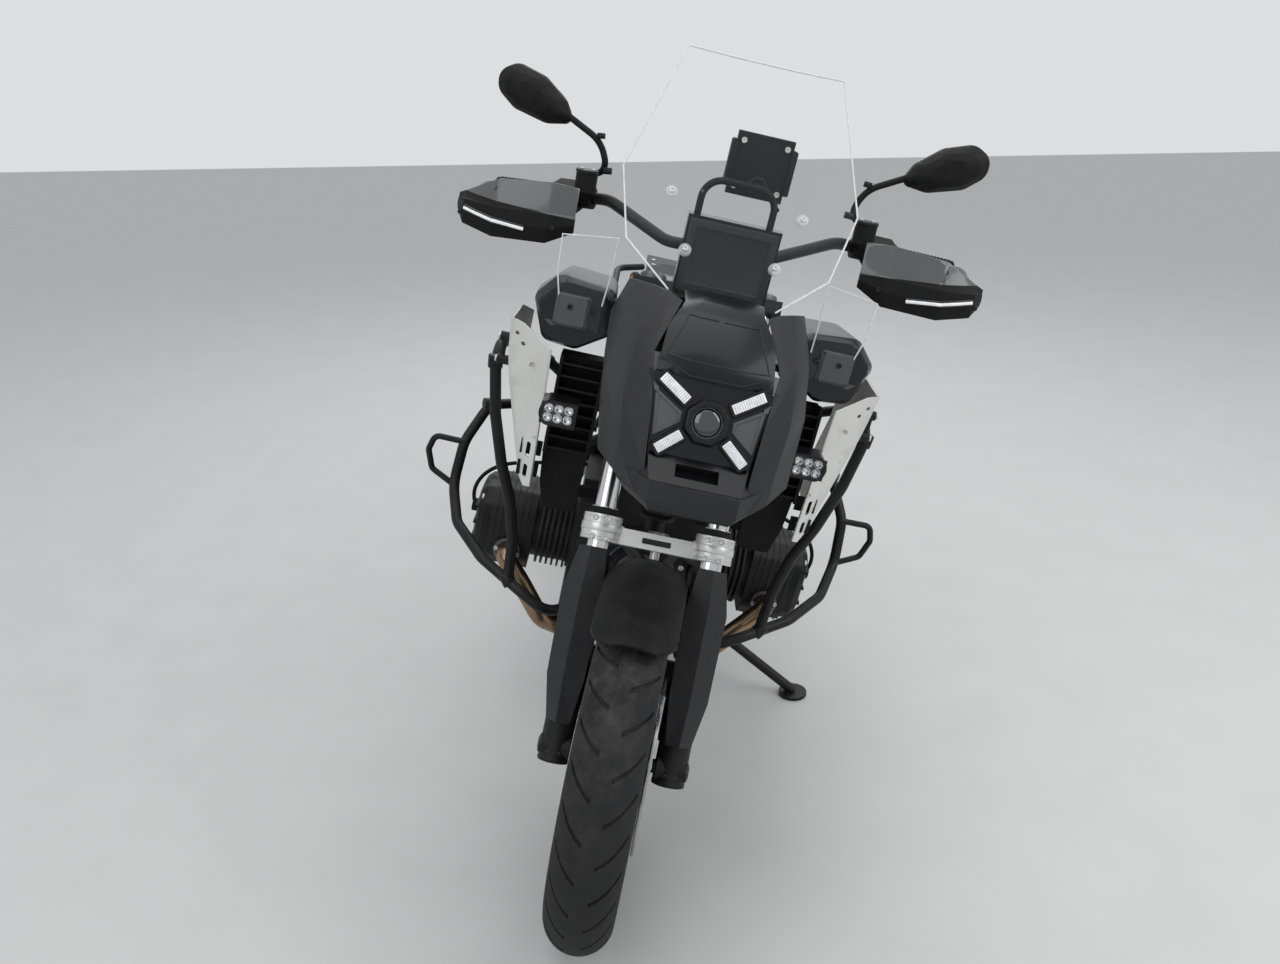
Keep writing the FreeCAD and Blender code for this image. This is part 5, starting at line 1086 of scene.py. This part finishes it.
# Engine front: screws round the cover, an inner ring, a dish and ribs under it.
engine = {"front": Vector((0, 0.4428, 0.47)), "screwRing": 0.09, "ring": 0.073, "wire": 0.0026,
          "dish": 0.052, "rib": (0.01, 0.01, 0.112), "sideScrews": (0.1612, 0.77, 0.43)}
coverScrews = []
for at in range(22, 382, 45):
    turn = math.radians(at)
    coverScrews.append((engine["front"] + engine["screwRing"]
                        * Vector((math.cos(turn), 0, math.sin(turn))), ahead))
screws("coverScrews", coverScrews, both=False)
settle(newRing(engine["ring"], engine["wire"], atPlace((0, 0.4432, 0.47), -ahead), 80),
       "coverRing", "castGrey")
dish = sunk(newRod(engine["dish"], 0.005, atPlace((0, 0.4342, 0.47), ahead), 56), 0.008, 0.003)
settle(soften(sunk(dish, 0.016, -0.003, topMiddle(0.02)), 0.0012), "coverDish", "castGrey")
frontRib = soften(newBox(engine["rib"], atPlace((-0.105, 0.4505, 0.452))), 0.003)
settle(repeated(frontRib, 2, (0.21, 0, 0)), "caseRibs", "castDark")
screws("sideCoverScrews", [(onCircle(engine["sideScrews"], 0.055, at), left)
                           for at in range(0, 360, 60)])
filler = soften(newRod(0.019, 0.012, atPlace((0.15, 0.64, 0.56), left), 12), 0.002)
settle(sunk(filler, 0.005, 0.004), "oilFiller", "mattBlack")

# Heads: cooling fins round each block, cover screws, spark leads and header flanges.
head = {"mid": Vector((0, 0.575, 0.478)), "fins": 6, "thick": 0.0024, "pitch": 0.0135,
        "outline": [(-0.084, -0.04), (-0.08, -0.06), (-0.058, -0.0895), (0.052, -0.0895),
                    (0.0855, -0.06), (0.0855, 0.048), (0.05, 0.0895), (-0.05, 0.0895),
                    (-0.084, 0.062)],
        "lead": [(0.372, 0.575, 0.4905), (0.384, 0.578, 0.512), (0.372, 0.59, 0.556),
                 (0.33, 0.61, 0.585), (0.25, 0.625, 0.6), (0.15, 0.63, 0.615)],
        "leadRadius": 0.0042, "plug": 0.014, "plugLong": 0.016,
        "plugAt": (0.3625, 0.575, 0.4905), "flange": 0.0285, "port": 0.0205, "flangeHigh": 0.007,
        "flangeAt": (0.282, 0.4885, 0.44), "throttle": 0.024, "throttleTop": 0.026,
        "throttleLong": 0.052, "throttleAt": (0.205, 0.655, 0.56),
        "throttleWay": (-0.35, 0.05, 0.93),
        "intake": [(0.206, 0.64, 0.545), (0.196, 0.656, 0.59), (0.17, 0.662, 0.63),
                   (0.12, 0.665, 0.665), (0.07, 0.665, 0.69)], "intakeRadius": 0.023}
headFin = newPlate([head["mid"] + Vector((0.2515, back, rise)) for back, rise in head["outline"]],
                   left * head["thick"])
pair(repeated(soften(headFin, 0.0006, 1), head["fins"], (head["pitch"], 0, 0)), "headFins",
     "castDark")
screws("headCoverScrews", [(head["mid"] + Vector((0.3505, back, rise)), left)
                           for back in (-0.058, 0.06) for rise in (-0.06, 0.06)], 1.1)
plug = newRod(head["plug"], head["plugLong"], atPlace(head["plugAt"], left), 28)
pair(soften(sunk(plug, 0.004, 0.003), 0.0014), "plugCaps", "mattBlack")
pair(newPipe(head["lead"], head["leadRadius"]), "sparkLeads", "gripRubber")
flange = newWasher(head["flange"], head["port"], head["flangeHigh"],
                   atPlace(head["flangeAt"], ahead), 40)
pair(soften(flange, 0.0012), "headerFlanges", "castGrey")
screws("flangeNuts", [((0.282 + side * 0.0235, 0.4815, 0.44 + side * 0.004), ahead)
                      for side in (1, -1)], 0.8)
throttle = newRod(head["throttle"], head["throttleLong"],
                  atPlace(head["throttleAt"], head["throttleWay"]), 36, head["throttleTop"])
pair(soften(throttle, 0.003), "throttleBodies", "castGrey")
pair(newPipe(head["intake"], head["intakeRadius"]), "intakeTubes", "gripRubber")
print("engine done")

# Crash bars: clamp sleeves and the screws of the upper lugs.
sleeve = {"radius": 0.0142, "long": 0.026, "spots": [
    ((0.262, 0.364, 0.437), (0.5, 0.3, 0.55)), ((0.3855, 0.64, 0.7005), (-0.9, 0.4, 0.05)),
    ((0.364, 0.398, 0.872), (0.1, 0.05, 1)), ((0.2825, 0.6575, 0.8215), (-0.6, 0.6, -0.45))]}
sleeves = [soften(newRod(sleeve["radius"], sleeve["long"], atPlace(
    Vector(spot) - Vector(way).normalized() * sleeve["long"] / 2, way), 28), 0.0022)
    for spot, way in sleeve["spots"]]
pair(joined(sleeves), "barSleeves", "blackMetal")
screws("barLugScrews", [((0.3585, 0.36, height), left) for height in (0.934, 0.89)])

# Side panels: screws at the bevel and near the lugs, and dark sheets behind the slots as painted
# shade inside them.
panel = {"screws": [((0.2885, 0.266, 0.92), (-0.35, -0.9, 0.1)),
                    ((0.2555, 0.2585, 0.79), (0.3, -0.95, 0)),
                    ((0.3335, 0.3125, 0.96), (0.6, -0.75, 0.2))],
         "shadeSheet": (0.04, 0.002, 0.03), "shadeSheetSpots": [(0.262, 0.289, 0.758), (0.262, 0.289, 0.715)]}
screws("panelScrews", panel["screws"], 0.8)
# Dark sheets behind the slots stand in for the shade inside them: painted shade.
shadeSheet = [soften(newBox(panel["shadeSheet"], atPlace(spot)), 0.0008, 1) for spot in panel["shadeSheetSpots"]]
pair(joined(shadeSheet), "panelLinings", "mattBlack")

# Tank: a filler cap with a ring of screws, and sunk scoops in the wings.
cap = {"at": Vector((0, 0.6, 1.056)), "way": Vector((0, -0.05, 1)), "radius": 0.044,
       "top": 0.0425, "high": 0.01}
tankCap = sunk(newRod(cap["radius"], cap["high"], atPlace(cap["at"], cap["way"]), 56, cap["top"]),
               0.008, 0.002)
settle(soften(sunk(tankCap, 0.018, -0.003, topMiddle(0.01)), 0.0012), "tankCap", "castGrey")
capScrew = boltsAt([(cap["at"] + Vector((0, 0.04, 0.009)), cap["way"])], 0.6)
settle(around(capScrew, 6, cap["at"], cap["way"]), "tankCapScrews", "silver")
scoop = soften(newBox((0.06, 0.006, 0.058), atPlace((0.236, 0.261, 1.03))), 0.012, 4, 60.0)
sunk(scoop, 0.006, 0.0035, lambda centre, normal: normal.y < -0.95)
pair(soften(scoop, 0.0008, 1), "wingScoops", "mattGrey")
print("bodywork done")


# Springs: a small circle turned and raised along the strut by a screw modifier.
def newSpring(foot, way, start, long, wire, radius=0.0325, turns=8):
    deselectAll()
    bpy.ops.mesh.primitive_circle_add(vertices=10, radius=wire, location=(radius, 0, 0),
                                      rotation=(math.radians(90), 0, 0))
    coil = bpy.context.object
    bpy.ops.object.transform_apply(location=True, rotation=True)
    applied(coil, "SCREW", angle=2 * math.pi * turns, screw_offset=long, steps=22 * turns,
            render_steps=22 * turns, use_merge_vertices=False)
    faceOut(coil)
    coil.matrix_world = atPlace(Vector(foot) + Vector(way).normalized() * start, way)
    return coil


springs = {"frontSpring": {"foot": (0, 0.343, 0.6184), "way": (0, 0.033, 0.3242),
                           "start": 0.04, "long": 0.212, "wire": 0.0055},
           "rearSpring": {"foot": (0.04, 0.987, 0.417), "way": (0, -0.121, 0.345),
                          "start": 0.082, "long": 0.2, "wire": 0.0058}}
for name, spring in springs.items():
    settle(newSpring(**spring), name, "springBlack", smooth=60.0)

# Exhaust: clamp bands, an end ring, and a shield over the silencer.
canWay = Vector((0, 0.955, 0.297)).normalized()
canFoot = Vector((-0.205, 1.15, 0.392))
can = {"bands": ((0.03, 0.0588), (0.352, 0.0588), (-0.034, 0.0275)), "bandWide": 0.014,
       "shield": 0.0625, "shieldLong": 0.23, "wall": 0.0018, "collector": 0.8}


def onCan(reach, side=left):
    return atPlace(canFoot + canWay * reach, canWay, side)


exhaustSkin = moulded("exhaust", "exhaustSkin", angle=40.0)
exhaustSkin.data.materials.append(finishes["satinSteel"])
exhaustSkin.data.materials.append(finishes["castGrey"])
for face in exhaustSkin.data.polygons:
    spot = upright @ face.center
    if (spot - canFoot).dot(canWay) > -0.036 and spot.x < -0.12:
        face.material_index = 1
    elif spot.y > can["collector"]:
        face.material_index = 2
bands = [soften(newWasher(radius + 0.0014, radius - 0.0015, can["bandWide"], onCan(at), 72),
                0.0012, 1) for at, radius in can["bands"]]
settle(joined(bands), "silencerBands", "silver")
shield = newRod(can["shield"], can["shieldLong"], onCan(0.085, up), 64)
editAll(shield)
bpy.ops.mesh.bisect(plane_co=canFoot + canWay * 0.2 - left * 0.02, plane_no=(1, 0, 0),
                    clear_outer=True)
leaveEdit()
pickFaces(shield, lambda centre, normal: abs(normal.z) > 0.95)
bpy.ops.mesh.delete(type="FACE")
leaveEdit()
applied(shield, "SOLIDIFY", thickness=can["wall"])
settle(soften(shield, 0.0006, 1), "silencerShield", "blackMetal")
settle(soften(newWasher(0.0405, 0.0225, 0.006, onCan(0.3805), 56), 0.002), "silencerEnd",
       "chromeTube")
print("exhaust done")

# Tail: ribbed red lens, amber signal lenses on both faces, a blank plate and its reflector.
tail = {"lens": (0.132, 0.0035, 0.03), "at": (0, 1.6688, 0.846), "ribs": 17, "pitch": 0.0075,
        "rib": (0.0018, 0.0012, 0.026), "ribAt": (-0.06, 1.6709, 0.846),
        "plate": (0.18, 0.11, 0.0016), "plateAt": (0, 1.8708, 0.6118),
        "plateWay": (0, 0.97, 0.243), "blinker": 0.015, "blinkerAcross": 0.118,
        "blinkerHigh": 0.842, "reflector": 0.024, "reflectorHigh": 0.004,
        "reflectorAt": (0, 1.83, 0.69), "reflectorWay": (0, 0.78, 0.62)}
settle(soften(newBox(tail["lens"], atPlace(tail["at"])), 0.003, 3, 60.0), "tailLens", "tailRed")
ribTail = repeated(soften(newBox(tail["rib"], atPlace(tail["ribAt"])), 0.0004, 1), tail["ribs"],
                   (tail["pitch"], 0, 0))
settle(ribTail, "tailRibs", "tailRed")
for name, way, back in (("rear", -ahead, 1.6735), ("front", ahead, 1.6405)):
    blinker = newDome(tail["blinker"], (1, 1, 0.38),
                      atPlace((tail["blinkerAcross"], back, tail["blinkerHigh"]), way))
    pair(blinker, name + "Blinkers", "amber")
plate = newBox(tail["plate"], atPlace(tail["plateAt"], tail["plateWay"]))
settle(soften(plate, 0.006, 4, 60.0), "numberPlate", "plateWhite")
screws("plateScrews", [((at, 1.8718, 0.6508), tail["plateWay"]) for at in (-0.06, 0.06)], 0.8,
       both=False)
rearReflector = newRod(tail["reflector"], tail["reflectorHigh"],
                       atPlace(tail["reflectorAt"], tail["reflectorWay"]), 36)
settle(soften(rearReflector, 0.0012), "rearReflector", "tailRed")
screws("rackScrews", [((0.076, back, 0.9128), up) for back in (1.54, 1.62)])
print("tail done")

# Foot controls: teeth on the pegs, rear rubbers, a shift lever left and a brake lever right.
feet = {"tooth": (0.004, 0.03, 0.006), "toothAt": (0.178, 0.838, 0.3455), "teeth": 9,
        "pitch": 0.0085, "rubber": 0.0135, "bore": 0.0109, "rubberLong": 0.062,
        "rubberAt": (0.16, 1.04, 0.56), "shift": 0.0055, "shiftPad": 0.0105,
        "shiftPadLong": 0.046, "shiftPadAt": (0.188, 0.695, 0.376), "brake": 0.0065,
        "brakePad": (0.05, 0.034, 0.008), "brakePadAt": (-0.204, 0.69, 0.382),
        "lever": [(0.163, 0.905, 0.404), (0.186, 0.86, 0.385), (0.19, 0.76, 0.372),
                  (0.194, 0.695, 0.376)]}
tooth = soften(newBox(feet["tooth"], atPlace(feet["toothAt"])), 0.0012, 1)
pair(repeated(tooth, feet["teeth"], (feet["pitch"], 0, 0)), "pegTeeth", "castGrey")
pegRubber = newWasher(feet["rubber"], feet["bore"], feet["rubberLong"],
                      atPlace(feet["rubberAt"], left), 28)
pair(soften(pegRubber, 0.001, 1), "rearPegRubbers", "gripRubber")
settle(newPipe(feet["lever"], feet["shift"]), "shiftLever", "silver")
shiftPad = newRod(feet["shiftPad"], feet["shiftPadLong"], atPlace(feet["shiftPadAt"], left), 24)
settle(soften(shiftPad, 0.002), "shiftPad", "gripRubber")
settle(newPipe([(-x, y, z) for x, y, z in feet["lever"]], feet["brake"]), "brakeLever", "silver")
settle(soften(newBox(feet["brakePad"], atPlace(feet["brakePadAt"])), 0.002), "brakePad",
       "castGrey")

# Skid plate: long raised ribs and screws.
skid = {"ridge": (0.01, 0.23, 0.005), "ridgeAt": (-0.075, 0.69, 0.2105), "ridges": 4,
        "pitch": 0.05, "screws": [(0.128, 0.6, 0.2095), (0.096, 0.77, 0.2095)]}
ridge = soften(newBox(skid["ridge"], atPlace(skid["ridgeAt"])), 0.002, 2)
settle(repeated(ridge, skid["ridges"], (skid["pitch"], 0, 0)), "skidRidges", "silver")
screws("skidScrews", [(spot, -up) for spot in skid["screws"]])
print("foot controls done")

# Seats: each is a copy of its solid, remeshed and blown up a little by a cloth simulation
# whose points may move no further than a cap.
seats = {
    "rider_seat": {"name": "riderPad", "cap": 0.007, "shrink": 0.0045},
    "passenger_seat": {"name": "passengerPad", "cap": 0.007, "shrink": 0.0045},
}
clothRun = {"frames": 20, "pressure": 4.0, "tension": 12.0, "bending": 4.0, "quality": 4}
for label, kind in seats.items():
    solid = nodes[label]
    pad = solid.copy()
    pad.data = solid.data.copy()
    bpy.context.scene.collection.objects.link(pad)
    editAll(pad)
    bpy.ops.mesh.remove_doubles(threshold=0.00005)
    bpy.ops.mesh.normals_make_consistent(inside=False)
    bpy.ops.transform.shrink_fatten(value=-kind["shrink"])
    leaveEdit()
    applied(pad, "REMESH", mode="VOXEL", voxel_size=0.006)
    start = [spot.co.copy() for spot in pad.data.vertices]
    settings = pad.modifiers.new("cloth", "CLOTH").settings
    settings.quality = clothRun["quality"]
    settings.use_pressure = True
    settings.uniform_pressure_force = clothRun["pressure"]
    settings.effector_weights.gravity = 0.0
    settings.tension_stiffness = clothRun["tension"]
    settings.bending_stiffness = clothRun["bending"]
    for step in range(1, clothRun["frames"] + 1):
        bpy.context.scene.frame_set(step)
    applyAll(pad)
    for spot, before in zip(pad.data.vertices, start):
        move = spot.co - before
        if move.length > kind["cap"]:
            spot.co = before + move * (kind["cap"] / move.length)
    bpy.context.scene.frame_set(1)
    applied(pad, "SUBSURF", levels=1, render_levels=1)
    settle(pad, kind["name"], "seatCover", smooth=60.0, framed=False)
    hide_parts(label)
    print("seat", label, len(pad.data.vertices))

# Piping: laid on each cushion along its upper edge, both sides.
piping = {"radius": 0.0022, "lift": 0.0006, "share": 7, "lines": [
    ("riderPiping", "riderPad", [(0.068, 0.79, 0.886), (0.1265, 0.96, 0.8445),
                                 (0.1355, 1.13, 0.871)]),
    ("passengerPiping", "passengerPad", [(0.1285, 1.155, 0.906), (0.125, 1.3, 0.918),
                                         (0.0945, 1.48, 0.922)])]}


def laidOn(pad, corners, side):
    points = []
    for spot in between(corners, piping["share"]):
        hit, place, normal, face = pad.closest_point_on_mesh(
            leanFrame @ Vector((side * spot.x, spot.y, spot.z)))
        points.append(tuple(upright @ (place + normal * piping["lift"])))
    return points


for name, pad, line in piping["lines"]:
    pipes = [newPipe(laidOn(bpy.data.objects[pad], line, side), piping["radius"])
             for side in (1, -1)]
    settle(joined(pipes), name, "seatPiping")
print("seats done")
bpy.data.objects.remove(boltHead)


# Stage: pale floor, white surroundings, soft lamps and the camera at the photograph's angle.
view = {"camera": (0.169, -1.534, 1.453), "yaw": 1.56, "pitch": -21.74, "roll": 1.08,
        "lens": 29.54, "floor": 30.0}
cameraData = bpy.data.cameras.new("camera")
camera = bpy.data.objects.new("camera", cameraData)
bpy.context.scene.collection.objects.link(camera)
cameraData.lens = view["lens"]
cameraData.clip_end = 100.0
cameraTurn = Matrix.Identity(4)
for key, axis in (("yaw", "Z"), ("pitch", "X"), ("roll", "Y")):
    cameraTurn = cameraTurn @ Matrix.Rotation(math.radians(view[key]), 4, axis)
camera.matrix_world = (Matrix.Translation(Vector(view["camera"]) + shift) @ cameraTurn
                       @ Matrix.Rotation(math.radians(90), 4, "X"))
bpy.context.scene.camera = camera
deselectAll()
bpy.ops.mesh.primitive_plane_add(size=view["floor"], location=(0, 0, 0))
floor = bpy.context.object
floor.name = "floor"
floorFinish, tree, shader, place = newMaterial("floorFinish")
shader.inputs["Roughness"].default_value = 0.6
speck = addNode(tree, "TexNoise", Scale=5.0, Detail=5.0)
tone = mixColour(tree, (0.58, 0.58, 0.57), (0.64, 0.64, 0.63))
wire(tree, (place, "Object", speck, "Vector"), (speck, "Fac", tone, "Factor"),
     (tone, 2, shader, "Base Color"))
floor.data.materials.append(floorFinish)

# Surroundings: softer as light than as what the camera, glass and shiny pieces see.
world = bpy.data.worlds.new("world")
bpy.context.scene.world = world
world.use_nodes = True
tree = world.node_tree
tree.nodes.clear()
out = addNode(tree, "OutputWorld")
soft = addNode(tree, "Background", Color=(0.8, 0.82, 0.85, 1.0), Strength=0.72)
white = addNode(tree, "Background", Color=(0.72, 0.73, 0.75, 1.0), Strength=1.0)
path = addNode(tree, "LightPath")
glossy = addMath(tree, "MULTIPLY", 0.5)
seen, seenToo = addMath(tree, "MAXIMUM"), addMath(tree, "MAXIMUM")
pick = addNode(tree, "MixShader")
wire(tree, (path, "Is Glossy Ray", glossy, 0), (path, "Is Camera Ray", seen, 0),
     (glossy, 0, seen, 1), (seen, 0, seenToo, 0), (path, "Is Transmission Ray", seenToo, 1),
     (seenToo, 0, pick, 0), (soft, 0, pick, 1), (white, 0, pick, 2), (pick, 0, out, "Surface"))

lamps = [  # place, size, watts, aim
    ((-1.8, -3.0, 3.2), 2.4, 26.0, (0, 0, 0.7)),
    ((3.0, -1.6, 3.0), 2.4, 46.0, (0, 0, 0.6)),
    ((0.0, 3.0, 3.4), 2.4, 34.0, (0, 0, 0.6)),
    ((0.0, -0.4, 4.4), 3.4, 40.0, (0, 0, 0.0)),
]
for index, (spot, size, watts, aim) in enumerate(lamps):
    lampData = bpy.data.lights.new("softLamp%d" % index, "AREA")
    lampData.size = size
    lampData.energy = watts
    lamp = bpy.data.objects.new("softLamp%d" % index, lampData)
    bpy.context.scene.collection.objects.link(lamp)
    lamp.location = spot
    lamp.rotation_euler = (Vector(aim) - Vector(spot)).to_track_quat("-Z", "Y").to_euler()
bpy.context.scene.view_settings.view_transform = "Standard"
print("stage set")
